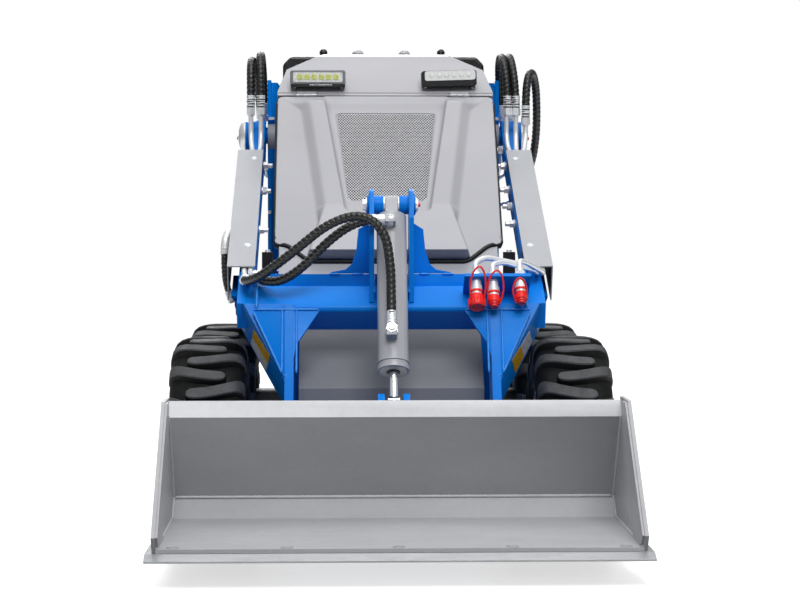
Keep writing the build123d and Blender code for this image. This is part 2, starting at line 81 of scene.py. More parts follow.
# ------------------------------------------------------------------ materials
def lin(h):
    h = h.lstrip("#")
    out = []
    for i in (0, 2, 4):
        c = int(h[i:i + 2], 16) / 255
        out.append(c / 12.92 if c <= 0.04045 else ((c + 0.055) / 1.055) ** 2.4)
    return (*out, 1.0)


def scaled(c, k):
    return (min(1, c[0] * k), min(1, c[1] * k), min(1, c[2] * k), 1.0)


class Shade:
    """A principled material in object coordinates, in metres, with small helpers for its nodes."""

    def __init__(self, name):
        self.mat = bpy.data.materials.new(name)
        self.mat.use_nodes = True
        self.tree = self.mat.node_tree
        self.bsdf = self.tree.nodes["Principled BSDF"]
        self.coord = self.tree.nodes.new("ShaderNodeTexCoord").outputs["Object"]
        self.bumps = None

    def node(self, kind, **values):
        n = self.tree.nodes.new(kind)
        for k, v in values.items():
            if k in n.inputs:
                n.inputs[k].default_value = v
            else:
                setattr(n, k, v)
        return n

    def link(self, a, b):
        self.tree.links.new(a, b)

    def stretch(self, scale):
        m = self.node("ShaderNodeMapping")
        m.inputs["Scale"].default_value = scale
        self.link(self.coord, m.inputs["Vector"])
        return m.outputs["Vector"]

    def noise(self, scale, detail=3.0, rough=0.5, stretch=None, distortion=0.0):
        n = self.node("ShaderNodeTexNoise", Scale=scale, Detail=detail, Roughness=rough, Distortion=distortion)
        self.link(self.stretch(stretch) if stretch else self.coord, n.inputs["Vector"])
        return n.outputs["Fac"]

    def voronoi(self, scale, feature="F1", stretch=None):
        n = self.node("ShaderNodeTexVoronoi", Scale=scale)
        n.feature = feature
        self.link(self.stretch(stretch) if stretch else self.coord, n.inputs["Vector"])
        return n.outputs["Distance"]

    def ramp(self, fac, a, b, lo=0.0, hi=1.0):
        n = self.node("ShaderNodeMapRange")
        n.inputs["From Min"].default_value, n.inputs["From Max"].default_value = a, b
        n.inputs["To Min"].default_value, n.inputs["To Max"].default_value = lo, hi
        self.link(fac, n.inputs["Value"])
        return n.outputs["Result"]

    def mix(self, fac, a, b, blend="MIX"):
        n = self.node("ShaderNodeMix")
        n.data_type, n.blend_type = "RGBA", blend
        for sock, v in ((n.inputs[0], fac), (n.inputs[6], a), (n.inputs[7], b)):
            if hasattr(v, "node"):
                self.link(v, sock)
            else:
                sock.default_value = v
        return n.outputs[2]

    def times(self, a, b, op="MULTIPLY"):
        n = self.node("ShaderNodeMath")
        n.operation = op
        for sock, v in zip(n.inputs, (a, b)):
            if hasattr(v, "node"):
                self.link(v, sock)
            else:
                sock.default_value = v
        return n.outputs[0]

    def bump(self, height, strength, distance):
        n = self.node("ShaderNodeBump", Strength=strength, Distance=distance)
        self.link(height, n.inputs["Height"])
        if self.bumps is not None:
            self.link(self.bumps, n.inputs["Normal"])
        self.bumps = n.outputs["Normal"]
        self.link(self.bumps, self.bsdf.inputs["Normal"])

    def base(self, out):
        self.link(out, self.bsdf.inputs["Base Color"])

    def rough(self, out):
        self.link(out, self.bsdf.inputs["Roughness"])

    def set(self, **values):
        for k, v in values.items():
            self.bsdf.inputs[k.replace("_", " ")].default_value = v
        return self


def paint(name, colour, rough=0.32, vary=0.05, peel=0.05, coat=0.0, scuff=0.25, spec=0.5, ior=1.45):
    """Sprayed satin paint: fine orange peel, slow drift of tone, faint dust and rub marks."""
    s = Shade(name)
    s.set(Specular_IOR_Level=spec, Coat_Weight=coat, Coat_Roughness=0.12, IOR=ior)
    slow = s.ramp(s.noise(7.0, 4.0, 0.55), 0.3, 0.7)
    base = s.mix(slow, scaled(colour, 1 - vary), scaled(colour, 1 + vary))
    speck = s.ramp(s.noise(420.0, 2.0, 0.6), 0.62, 0.74, 0.0, 0.16)
    base = s.mix(speck, base, scaled(colour, 0.72))
    s.base(base)
    rub = s.ramp(s.noise(28.0, 6.0, 0.65, stretch=(1.0, 1.0, 3.0)), 0.35, 0.75, rough - 0.06, rough + scuff * 0.5)
    s.rough(rub)
    s.bump(s.noise(650.0, 2.0, 0.5), peel, 0.0006)
    s.bump(s.noise(38.0, 2.0, 0.5), peel * 0.8, 0.0025)
    return s.mat


def metal(name, colour, rough=0.3, grain=(1, 1, 1), grain_amount=0.05, vary=0.12, scale=60.0, metallic=1.0):
    """Plated or machined metal, with fine turning or rolling grain and mottled brightness."""
    s = Shade(name)
    s.set(Metallic=metallic)
    m = s.ramp(s.noise(scale, 5.0, 0.6), 0.3, 0.7)
    s.base(s.mix(m, scaled(colour, 1 - vary), scaled(colour, 1 + vary)))
    s.rough(s.ramp(s.noise(scale * 2.3, 4.0, 0.6), 0.3, 0.7, rough - 0.07, rough + 0.1))
    s.bump(s.noise(900.0, 2.0, 0.5, stretch=grain), grain_amount, 0.0004)
    return s.mat


def rubber(name, colour, rough=0.62, dust=0.25, scale=30.0, fine=500.0, bump=0.12, spec=0.4):
    """Moulded rubber or plastic, with a fine skin, dusty patches and a soft sheen."""
    s = Shade(name)
    s.set(Specular_IOR_Level=spec)
    d = s.ramp(s.noise(scale, 6.0, 0.65), 0.42, 0.78, 0.0, dust)
    s.base(s.mix(d, colour, scaled(colour, 3.2)))
    s.rough(s.ramp(s.noise(scale * 3, 4.0, 0.6), 0.3, 0.7, rough - 0.08, rough + 0.1))
    s.bump(s.noise(fine, 3.0, 0.55), bump, 0.0006)
    return s.mat


BLUE = paint("blue_paint", lin("#007ee2"), rough=0.36, vary=0.05, peel=0.03, scuff=0.12, spec=0.3, ior=1.3)
GREY = paint("grey_paint", lin("#a9a9ae"), rough=0.40, vary=0.03, peel=0.05, scuff=0.14)
# Front plate grey, darker than the hood: partly its paint, partly painted shade under the cross tube and arms.
PLATE_GREY_AND_SHADE = paint("plate_grey_paint_and_shade", lin("#7f8085"), rough=0.44, vary=0.05, peel=0.05, scuff=0.2)
GRILLE_GREY = paint("grille_grey_paint", lin("#dfdfe3"), rough=0.36, vary=0.03, peel=0.03, scuff=0.1)
COVER_GREY = paint("cover_grey_paint", lin("#a9abb0"), rough=0.42, vary=0.04, peel=0.05, scuff=0.16)
BARREL_GREY = paint("barrel_grey_paint", lin("#a9abb0"), rough=0.36, vary=0.05, peel=0.04, scuff=0.2)
BLACK_PAINT = paint("black_paint", lin("#1b1c1e"), rough=0.42, vary=0.1, peel=0.06, scuff=0.2)
RIM = paint("rim_paint", lin("#c4c5c8"), rough=0.38, vary=0.05, peel=0.06, scuff=0.2)
IRON = paint("engine_paint", lin("#26282b"), rough=0.55, vary=0.15, peel=0.2, scuff=0.2)
# Zinc plate: near-white base with low metallic, the plating's silver plus a painted reflection of the white
# surroundings.
ZINC_AND_REFLECTION = metal("zinc_plate_and_painted_reflection", lin("#eceef0"), rough=0.36, grain_amount=0.02, vary=0.05, scale=110.0, metallic=0.45)
CHROME = metal("hard_chrome", lin("#e3e5e8"), rough=0.12, grain_amount=0.015, vary=0.04, scale=40.0)
STEEL = metal("dark_steel", lin("#8b8d91"), rough=0.38, grain_amount=0.05, vary=0.16, scale=80.0)
# Bright nuts: near-white base with low metallic, a painted reflection of the white surroundings on the plating.
NUT_AND_REFLECTION = metal("nut_painted_reflection", lin("#f2f3f4"), rough=0.3, grain_amount=0.02, vary=0.04, scale=120.0, metallic=0.4)
BLACK_PLASTIC = rubber("black_plastic", lin("#141517"), rough=0.36, dust=0.08, bump=0.10, spec=0.5)
SEAL = rubber("seal_rubber", lin("#0b0c0d"), rough=0.5, dust=0.05, bump=0.08)
RED = rubber("red_plastic", lin("#f3150f"), rough=0.33, dust=0.0, bump=0.05, spec=0.5)
WHITE_LENS = rubber("white_lens", lin("#f4f5f3"), rough=0.2, dust=0.0, bump=0.04, spec=0.5)
DOME_GREY = rubber("grey_plastic", lin("#a9abae"), rough=0.35, dust=0.0, bump=0.06, spec=0.5)


def tyre_material():
    s = Shade("tyre_rubber")
    s.set(Specular_IOR_Level=0.22)
    dust = s.ramp(s.noise(16.0, 7.0, 0.68), 0.42, 0.8, 0.0, 0.4)
    fine = s.ramp(s.noise(210.0, 4.0, 0.7), 0.35, 0.7, 0.0, 0.35)
    c = s.mix(dust, lin("#060707"), lin("#1a1b1d"))
    c = s.mix(fine, c, lin("#0f1011"))
    s.base(c)
    s.rough(s.ramp(s.noise(60.0, 5.0, 0.6), 0.3, 0.7, 0.58, 0.8))
    s.bump(s.noise(420.0, 5.0, 0.65), 0.22, 0.0012)
    s.bump(s.noise(26.0, 3.0, 0.5), 0.12, 0.003)
    return s.mat


def lug_highlight_material():
    """Top of the lugs: greyer than the grooves, a painted highlight for the light falling on the tops, with dusty
    patches.
    """
    s = Shade("lug_rubber_painted_highlight")
    s.set(Specular_IOR_Level=0.4)
    dust = s.ramp(s.noise(22.0, 7.0, 0.7), 0.3, 0.72, 0.0, 0.8)
    c = s.mix(dust, lin("#393b3d"), lin("#5c5e61"))
    fine = s.ramp(s.noise(260.0, 4.0, 0.7), 0.4, 0.75, 0.0, 0.5)
    s.base(s.mix(fine, c, lin("#303133")))
    s.rough(s.ramp(s.noise(60.0, 5.0, 0.6), 0.3, 0.7, 0.55, 0.75))
    s.bump(s.noise(380.0, 5.0, 0.65), 0.25, 0.0012)
    return s.mat


def guard_material():
    s = Shade("hose_guard")
    s.set(Specular_IOR_Level=0.5)
    d = s.ramp(s.noise(45.0, 5.0, 0.6), 0.4, 0.75, 0.0, 0.5)
    s.base(s.mix(d, lin("#0c0d0e"), lin("#1d1f21")))
    s.rough(s.ramp(s.noise(150.0, 3.0, 0.6), 0.3, 0.7, 0.3, 0.45))
    s.bump(s.noise(600.0, 3.0, 0.5), 0.08, 0.0005)
    return s.mat


def bucket_material():
    """Bucket paint: thin grey coat with rolled-plate mottle and soft drag marks."""
    s = Shade("bucket_paint")
    s.set(Specular_IOR_Level=0.5)
    slow = s.ramp(s.noise(5.0, 5.0, 0.6, stretch=(0.5, 1.0, 1.0)), 0.3, 0.7)
    c = s.mix(slow, lin("#a9aaad"), lin("#b6b7ba"))
    mott = s.ramp(s.noise(55.0, 6.0, 0.7), 0.45, 0.8, 0.0, 0.28)
    c = s.mix(mott, c, lin("#999a9d"))
    drag = s.ramp(s.noise(70.0, 3.0, 0.6, stretch=(0.08, 1.2, 1.2)), 0.55, 0.8, 0.0, 0.22)
    c = s.mix(drag, c, lin("#c0c1c3"))
    s.base(c)
    s.rough(s.ramp(s.noise(30.0, 6.0, 0.65), 0.3, 0.75, 0.36, 0.56))
    s.bump(s.noise(500.0, 3.0, 0.6), 0.10, 0.0007)
    s.bump(s.noise(24.0, 3.0, 0.5, stretch=(0.4, 1.0, 1.0)), 0.06, 0.004)
    return s.mat


# Copy of the bucket paint with its colours scaled by k: painted light where k is above 1, painted shade where k is
# below 1.
def bucket_painted_light_copy(name, k):
    m = bucket_material()
    m.name = name
    for n in m.node_tree.nodes:
        if n.type in ("MIX", "MIX_RGB"):
            for i in n.inputs:
                if i.type == "RGBA" and not i.is_linked:
                    i.default_value = scaled(i.default_value, k)
    return m


def edge_material():
    s = Shade("edge_steel")
    s.set(Metallic=0.25, Specular_IOR_Level=0.5)
    c = s.mix(s.ramp(s.noise(40.0, 6.0, 0.7, stretch=(0.2, 1, 1)), 0.3, 0.7), lin("#9a9c9f"), lin("#adafb1"))
    s.base(c)
    s.rough(s.ramp(s.noise(90.0, 4.0, 0.6), 0.3, 0.7, 0.3, 0.46))
    s.bump(s.noise(420.0, 3.0, 0.6, stretch=(0.3, 1, 1)), 0.1, 0.0006)
    return s.mat


def weld_material(name, colour, rough=0.33):
    """Painted weld bead: overlapping ripples under the paint."""
    s = Shade(name)
    slow = s.ramp(s.noise(30.0, 4.0, 0.6), 0.3, 0.7)
    s.base(s.mix(slow, scaled(colour, 0.93), scaled(colour, 1.06)))
    s.rough(s.ramp(s.noise(160.0, 3.0, 0.6), 0.3, 0.7, rough - 0.05, rough + 0.08))
    s.bump(s.noise(260.0, 3.0, 0.6), 0.35, 0.0014)
    return s.mat


def tread_plate_material():
    s = Shade("step_paint")
    s.set(Specular_IOR_Level=0.5)
    c = s.mix(s.ramp(s.noise(12.0, 6.0, 0.7), 0.35, 0.75), lin("#18191b"), lin("#2b2c2e"))
    s.base(c)
    s.rough(s.ramp(s.noise(50.0, 5.0, 0.65), 0.3, 0.7, 0.42, 0.66))
    s.bump(s.noise(700.0, 3.0, 0.6), 0.3, 0.0008)
    return s.mat


TYRE = tyre_material()
LUG_HIGHLIGHT = lug_highlight_material()
GUARD = guard_material()
BUCKET = bucket_material()
EDGE = edge_material()
# Lit and shaded copies of the one bucket paint: the lip 1.75× brighter as a painted highlight, the back wall 0.84×
# darker as painted shade.
LIP_HIGHLIGHT = bucket_painted_light_copy("bucket_lip_painted_highlight", 1.75)
BACK_SHADE = bucket_painted_light_copy("bucket_back_painted_shade", 0.84)
# Weld beads a shade lighter than the paint they sit on: painted highlight along the beads.
WELD_BLUE = weld_material("blue_weld", lin("#1287e6"))
WELD_GREY = weld_material("grey_weld", lin("#c4c5c8"), 0.4)
STEP = tread_plate_material()
YELLOW_PLATE = paint("plate_yellow", lin("#d6a51a"), rough=0.3, vary=0.04, peel=0.02, scuff=0.1)
WHITE_PLATE = paint("plate_white", lin("#c9ccd2"), rough=0.3, vary=0.04, peel=0.02, scuff=0.1)


def led_material():
    s = Shade("led_chip")
    c = s.mix(s.ramp(s.noise(300.0, 3.0, 0.6), 0.4, 0.6), lin("#c3cb62"), lin("#e2e793"))
    s.base(c)
    s.rough(s.ramp(s.noise(200.0, 2.0, 0.5), 0.3, 0.7, 0.14, 0.26))
    return s.mat


def led_ground_material():
    s = Shade("led_ground")
    c = s.mix(s.ramp(s.noise(180.0, 3.0, 0.6), 0.4, 0.6), lin("#d9dbd8"), lin("#f2f3ef"))
    s.base(c)
    s.rough(s.ramp(s.noise(120.0, 2.0, 0.5), 0.3, 0.7, 0.2, 0.32))
    s.bump(s.voronoi(260.0), 0.25, 0.0006)
    return s.mat


LED, LED_GROUND = led_material(), led_ground_material()


# ------------------------------------------------------------------ mesh building, in millimetres
def frame_of(d, hint=(0, 0, 1)):
    """Two unit vectors across direction d."""
    d = Vector(d).normalized()
    h = Vector(hint)
    if abs(d.dot(h.normalized())) > 0.95:
        h = Vector((1, 0, 0)) if abs(d.x) < 0.9 else Vector((0, 1, 0))
    a = h.cross(d).normalized()
    return a, d.cross(a).normalized(), d


class Piece:
    """Collects faces in millimetres, with a material index each, and becomes one object."""

    def __init__(self, *materials):
        self.v, self.f, self.m = [], [], []
        self.materials = materials
        self.index = 0

    def use(self, index):
        self.index = index
        return self

    def add(self, verts, faces):
        o = len(self.v)
        self.v += [tuple(v) for v in verts]
        self.f += [tuple(o + i for i in f) for f in faces]
        self.m += [self.index] * len(faces)
        return self

    def rings(self, rings, cap0=True, cap1=True, closed=True):
        """Skin over rings of equal length."""
        n, k = len(rings[0]), len(rings)
        verts = [p for r in rings for p in r]
        faces = []
        for i in range(k - 1):
            for j in range(n if closed else n - 1):
                a, b = i * n + j, i * n + (j + 1) % n
                faces.append((a, b, b + n, a + n))
        if cap0:
            faces.append(tuple(reversed(range(n))))
        if cap1:
            faces.append(tuple(range((k - 1) * n, k * n)))
        return self.add(verts, faces)

    def prism(self, ring, shift):
        """Outline (3-D points) pulled by shift."""
        s = Vector(shift)
        r0 = [Vector(p) for p in ring]
        return self.rings([r0, [p + s for p in r0]])

    def yz(self, pts, x0, x1):
        return self.prism([(x0, a, b) for a, b in pts], (x1 - x0, 0, 0))

    def block(self, x0, x1, y0, y1, z0, z1):
        return self.prism([(x0, y0, z0), (x1, y0, z0), (x1, y1, z0), (x0, y1, z0)], (0, 0, z1 - z0))

    def lathe(self, origin, d, profile, n=32, hint=(0, 0, 1)):
        """Turns (distance along d, radius) about the axis through origin; a radius of 0 closes it."""
        a, b, d = frame_of(d, hint)
        o = Vector(origin)
        rings = []
        for t, r in profile:
            rr = max(r, 0.001)
            rings.append([o + d * t + (a * math.cos(TAU * i / n) + b * math.sin(TAU * i / n)) * rr for i in range(n)])
        return self.rings(rings, True, True)

    def rod(self, p, q, r, n=24, edge=0.6):
        p, q = Vector(p), Vector(q)
        ln = (q - p).length
        e = min(edge, ln / 3, r / 3)
        return self.lathe(p, q - p, [(0, r - e), (e, r), (ln - e, r), (ln, r - e)], n)

    def tube(self, points, r, n=16, caps=True):
        """Round bar along points; r is a number or a function of (share along, index)."""
        pts = [Vector(p) for p in points]
        rings, a = [], None
        for i, p in enumerate(pts):
            t = (pts[min(i + 1, len(pts) - 1)] - pts[max(i - 1, 0)]).normalized()
            if a is None:
                a, b, t = frame_of(t)
            else:
                a = (a - t * a.dot(t)).normalized()
                b = t.cross(a)
            rr = r(i / (len(pts) - 1), i) if callable(r) else r
            rings.append([p + (a * math.cos(TAU * k / n) + b * math.sin(TAU * k / n)) * rr for k in range(n)])
        return self.rings(rings, caps, caps)

    def hexagon(self, p, d, across, height, turn=0.0, chamfer=1.0):
        a, b, d = frame_of(d)
        o, R = Vector(p), across / 2 / math.cos(math.pi / 6)
        rings = []
        for t, k in ((0, 1), (height - chamfer, 1), (height, 1 - chamfer / across * 1.6)):
            rings.append([o + d * t + (a * math.cos(TAU * (i / 6) + turn) + b * math.sin(TAU * (i / 6) + turn)) * R * k
                          for i in range(6)])
        return self.rings(rings)

    def bolt(self, p, d, size=10.0, washer=True, height=None, turn=0.3):
        """Hex head on a washer; size is the thread's diameter."""
        p, dn = Vector(p), Vector(d).normalized()
        t = 0.0
        if washer:
            t = size * 0.2
            self.lathe(p, dn, [(0, size * 1.05), (t * 0.7, size * 1.05), (t, size * 0.98)], 24)
        self.hexagon(p + dn * t, dn, size * 1.65, height or size * 0.65, turn)
        return self

    def sphere(self, c, r, n=20, squash=1.0, d=(0, 0, 1)):
        prof = []
        for i in range(n // 2 + 1):
            t = math.pi * i / (n // 2)
            prof.append((-math.cos(t) * r * squash, max(0.001, math.sin(t) * r)))
        return self.lathe(c, d, prof, n)

    def make(self, name, body, bevel=0.0, segments=2, smooth=38, replaces=(), weld=False, ride=True):
        me = bpy.data.meshes.new(name)
        me.from_pydata([(x * MM, y * MM, z * MM) for x, y, z in self.v], [], self.f)
        for m in self.materials:
            me.materials.append(m)
        me.polygons.foreach_set("material_index", self.m)
        me.update()
        bm = bmesh.new()
        bm.from_mesh(me)
        if weld:
            bmesh.ops.remove_doubles(bm, verts=bm.verts, dist=2e-6)
        bmesh.ops.recalc_face_normals(bm, faces=bm.faces)
        bm.to_mesh(me)
        bm.free()
        me.shade_smooth()
        me.set_sharp_from_angle(angle=math.radians(smooth))
        o = bpy.data.objects.new(name, me)
        scene.collection.objects.link(o)
        if bevel:
            add_bevel(o, bevel, segments)
        if ride:
            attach(o, body)
        if replaces:
            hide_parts(*replaces)
        return o


def add_bevel(o, width_mm, segments=2, angle=32):
    m = o.modifiers.new("edge_round", "BEVEL")
    m.width, m.segments, m.limit_method = width_mm * MM, segments, "ANGLE"
    m.angle_limit = math.radians(angle)
    m.harden_normals = True
    m.use_clamp_overlap = True
    return m


def refined(node, material, bevel=1.5, segments=2, smooth=38, keep=None, angle=32, move=None, twin=False):
    """The CAD node's own shape with merged faces, rounded edges and a finish; material may be chosen by a face's place."""
    src = NODES[node]
    me = bpy.data.meshes.new(node + "_skin")
    bm = bmesh.new()
    bm.from_mesh(src.data)
    bmesh.ops.remove_doubles(bm, verts=bm.verts, dist=2e-6)
    bmesh.ops.dissolve_limit(bm, angle_limit=math.radians(0.25), verts=bm.verts, edges=bm.edges)
    bmesh.ops.recalc_face_normals(bm, faces=bm.faces)
    if twin:                                    # left side as the right one's mirror image
        bmesh.ops.delete(bm, geom=[v for v in bm.verts if v.co.x < 0], context="VERTS")
        copy = bmesh.ops.duplicate(bm, geom=bm.verts[:] + bm.edges[:] + bm.faces[:])["geom"]
        for v in copy:
            if isinstance(v, bmesh.types.BMVert):
                v.co.x = -v.co.x
        bm.normal_update()
        bmesh.ops.recalc_face_normals(bm, faces=bm.faces)
        bm.normal_update()
    if move is not None:
        for v in bm.verts:
            v.co = Vector(move(v.co / MM)) * MM
        bmesh.ops.dissolve_degenerate(bm, edges=bm.edges, dist=1e-6)
        bm.normal_update()
        bmesh.ops.recalc_face_normals(bm, faces=bm.faces)
        bm.normal_update()
    mats = material if isinstance(material, (list, tuple)) else [material]
    for f in bm.faces:
        f.smooth = True
        f.material_index = 0 if keep is None else keep(f.calc_center_median() / MM, f.normal)
    bm.to_mesh(me)
    bm.free()
    for m in mats:
        me.materials.append(m)
    me.set_sharp_from_angle(angle=math.radians(smooth))
    o = bpy.data.objects.new(node + "_skin", me)
    scene.collection.objects.link(o)
    if bevel:
        add_bevel(o, bevel, segments, angle)
    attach(o, src["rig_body"])
    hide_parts(node)
    return o


def dress(node, material):
    """The CAD node as it is, with a finish."""
    o = NODES[node]
    o.data.materials.clear()
    o.data.materials.append(material)
    return o


def mirrored(pts):
    return [(-p[0], *p[1:]) for p in pts]


# ------------------------------------------------------------------ side-view geometry shared with the CAD, mm
def unit2(p, q):
    d = (q[0] - p[0], q[1] - p[1])
    n = math.hypot(*d)
    return (d[0] / n, d[1] / n)


def along(p, u, s, n=0.0):
    return (p[0] + u[0] * s - u[1] * n, p[1] + u[1] * s + u[0] * n)


ARM_PIVOT, KNEE = (580.0, 968.0), (-240.0, 533.0)
BUCKET_PIVOT = (-440.0, 165.0)
TILT_TOP, TILT_EYE = (-235.0, 775.0), (-465.0, 325.0)
LIFT_LOW = (600.0, 560.0)
HINGE, DOOR_DIR, DOOR_OUT = (335.0, 1067.0), (-0.6190, -0.7854), (-0.7854, 0.6190)
U = unit2(ARM_PIVOT, KNEE)
W = unit2(TILT_TOP, TILT_EYE)
TOP_PORT, LOW_PORT = along(TILT_TOP, W, 62, -46), along(TILT_TOP, W, 336, -48.5)
BUCKET_IN = [(-949, 79), (-549, 81), (-500, 121), (-618, 312), (-604, 347)]
BU = unit2(BUCKET_IN[2], BUCKET_IN[3])


def slope(s, n=0.0):
    return (HINGE[0] + DOOR_DIR[0] * s + DOOR_OUT[0] * n, HINGE[1] + DOOR_DIR[1] * s + DOOR_OUT[1] * n)


def door_point(x, s, n):
    y, z = slope(s, n)
    return (x, y, z)


def arm_point(x, y, n):
    """On an arm at the given Y of its centreline, n below the centreline."""
    q = along(along(ARM_PIVOT, U, (ARM_PIVOT[0] - y) / -U[0]), U, 0, n)
    return (x, q[0], q[1])


# ------------------------------------------------------------------ hoses (before everything else that is made)
# name, and the route's points in metres
HOSES = {
    "tilt_hose_lower": [(-.345, -.212, .600), (-.345, -.242, .597), (-.331, -.276, .598), (-.302, -.318, .611),
                        (-.226, -.347, .668), (-.148, -.354, .733), (-.070, -.354, .756), (-.018, -.362, .716),
                        (-.005, -.380, .640), (-.004, (LOW_PORT[0] - 70 * W[0]) * MM, (LOW_PORT[1] - 70 * W[1]) * MM),
                        (-.004, LOW_PORT[0] * MM, LOW_PORT[1] * MM)],
    "tilt_hose_upper": [(-.3205, -.211, .608), (-.3198, -.2376, .6038), (-.305, -.266, .600), (-.262, -.298, .594),
                        (-.206, -.318, .630), (-.158, -.322, .682), (-.108, -.318, .722),
                        (-.062, TOP_PORT[0] * MM, TOP_PORT[1] * MM), (-.016, TOP_PORT[0] * MM, TOP_PORT[1] * MM)],
    "left_loop_outer": [(-.359, .452, 1.040), (-.359, .452, 1.096), (-.360, .472, 1.156), (-.358, .536, 1.180),
                        (-.352, .596, 1.154), (-.345, .620, 1.094), (-.338, .626, 1.020)],
    "left_loop_inner": [(-.332, .452, 1.040), (-.3325, .452, 1.106), (-.335, .474, 1.172), (-.335, .540, 1.194),
                        (-.333, .600, 1.168), (-.331, .632, 1.108), (-.331, .648, 1.032)],
    "right_loop_inner": [(.332, .452, 1.040), (.3315, .452, 1.104), (.324, .474, 1.168), (.320, .540, 1.190),
                         (.320, .600, 1.162), (.325, .632, 1.104), (.331, .648, 1.028)],
    "right_loop_middle": [(.355, .452, 1.040), (.353, .452, 1.102), (.345, .474, 1.166), (.342, .540, 1.190),
                          (.344, .594, 1.160), (.350, .618, 1.098), (.353, .624, 1.020)],
    "right_loop_outer": [(.3815, .452, 1.016), (.3815, .452, 1.074), (.389, .466, 1.128), (.404, .506, 1.144),
                         (.418, .548, 1.110), (.424, .575, 1.044), (.424, .594, .968), (.415, .618, .896),
                         (.392, .640, .836)],
    "left_lift_hose": [(-.390, .010, .706), (-.400, .000, .702), (-.4045, -.008, .672), (-.405, -.012, .638),
                       (-.4035, -.016, .604), (-.398, -.022, .572), (-.389, -.027, .549)],
}


def nurbs_line(name, pts):
    """Points of the smooth line through which a hose runs, evenly spaced."""
    c = bpy.data.curves.new(name + "_line", "CURVE")
    c.dimensions = "3D"
    c.resolution_u = 40
    sp = c.splines.new("NURBS")
    sp.points.add(len(pts) - 1)
    for p, q in zip(sp.points, pts):
        p.co = (*q, 1.0)
    sp.order_u = 3
    sp.use_endpoint_u = True
    o = bpy.data.objects.new(name + "_line", c)
    me = bpy.data.meshes.new_from_object(o)
    line = [v.co.copy() for v in me.vertices]
    bpy.data.objects.remove(o)
    bpy.data.meshes.remove(me)
    bpy.data.curves.remove(c)
    return line


def resample(line, step):
    total = sum((b - a).length for a, b in zip(line, line[1:]))
    n = max(8, round(total / step))
    out, acc, i = [line[0].copy()], 0.0, 0
    for k in range(1, n):
        want = total * k / n
        while acc + (line[i + 1] - line[i]).length < want:
            acc += (line[i + 1] - line[i]).length
            i += 1
        seg = (line[i + 1] - line[i]).length
        out.append(line[i].lerp(line[i + 1], (want - acc) / seg))
    out.append(line[-1].copy())
    return out, total


def hose(name, body, ends=(28, 28), blend=None, fittings=(True, True)):
    """A hydraulic hose in a wound plastic guard."""
    line, total = resample(nurbs_line(name, HOSES[name]), 0.0018)
    p = Piece(GUARD, ZINC_AND_REFLECTION)
    n, a, rings = 22, None, []
    pitch, R = (0.0125, 0.0113) if name != "left_lift_hose" else (0.0105, 0.0088)
    for i, c in enumerate(line):
        t = (line[min(i + 1, len(line) - 1)] - line[max(i - 1, 0)]).normalized()
        if a is None:
            a, b, t = frame_of(t)
        else:
            a = (a - t * a.dot(t)).normalized()
            b = t.cross(a)
        s = total * i / (len(line) - 1)
        ring = []
        for k in range(n):
            ph = (s / pitch - k / n) % 1.0
            # flat strip with rounded shoulders, and a groove between its turns
            g = 0.0
            if ph < 0.22:
                g = math.sin(math.pi * ph / 0.22)
            lift = 0.35 * math.sin(math.pi * max(0.0, (ph - 0.22) / 0.78))
            r = (R - 0.0004 - 0.0021 * g + 0.0004 * lift) / MM
            ring.append(c / MM + (a * math.cos(TAU * k / n) + b * math.sin(TAU * k / n)) * r)
        rings.append(ring)
    p.rings(rings)
    o = p.make(name + "_guard", body, smooth=60, ride=blend is None, replaces=(name,))
    if blend:
        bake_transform(o)
    return line, total


loop = ("chassis", "lift_arms", (0, .650, 1.03), (0, .450, 1.03))
tilt_blend = ("lift_arms", "tilt_barrel", (-.24, -.3, .7), (-.03, -.3, .7))
lines = {}
for hose_name in HOSES:
    if "loop" in hose_name:
        lines[hose_name] = hose(hose_name, None, blend=loop)
    elif "tilt" in hose_name:
        lines[hose_name] = hose(hose_name, None, blend=tilt_blend)
    else:
        lines[hose_name] = hose(hose_name, "lift_arms")

# ------------------------------------------------------------------ structure carried over from the CAD, with rounded edges
for node in ("side_plates", "nose_plates", "bulkheads", "frame_floor", "tie_down_lugs"):
    refined(node, BLUE, 1.5)
# front plate in the darker grey, which is partly painted shade
refined("front_plate", PLATE_GREY_AND_SHADE, 1.2)
refined("engine_block", IRON, 8, 3)
# the web between side plate and hood stands back from the plate's front edge
refined("pivot_towers", BLUE, 1.5, move=lambda c: (c.x, c.y + 42, c.z) if 556.1 < c.y < 568.1 and 269 < abs(c.x) < 309.2
        and abs(c.z - 968) > 41 and abs(c.z - 560) > 31 else c)
refined("left_side_panel", GREY, 3, 3)
refined("right_side_panel", GREY, 3, 3)
refined("hood_surround", GREY, 1.5)
refined("upper_cowl", GREY, 2.5, 3)
refined("control_console", BLACK_PLASTIC, 7, 4)
refined("control_levers", (BLACK_PLASTIC, DOME_GREY), 0, keep=lambda c, n: 1 if abs(c.x) < 100 else 0,
        move=lambda c: (c.x, c.y, c.z - 6))
refined("rear_panel", GREY, 3, 3)
refined("grab_bar", BLACK_PAINT, 0)
refined("operator_platform", STEP, 1.2)
refined("wheel_motors", BLACK_PAINT, 2.5)


def clevis_in(c):
    """The lift rod's clevis sits closer to the rod than the arm's outer face."""
    near = math.hypot(c.y + 57.8, c.z - 527.8) < 62
    x = min(abs(c.x), 388.0)
    if near and x > 372.5:
        x = 369.6 + (x - 373) * 0.35
    return (math.copysign(x, c.x), c.y, c.z)


refined("left_arm", BLUE, 2.0, move=clevis_in)
refined("right_arm", BLUE, 2.0, move=clevis_in)
refined("cross_tube", BLUE, 1.0)
refined("left_leg", BLUE, 1.6)
refined("right_leg", BLUE, 1.6)
refined("tilt_tower", BLUE, 1.2)
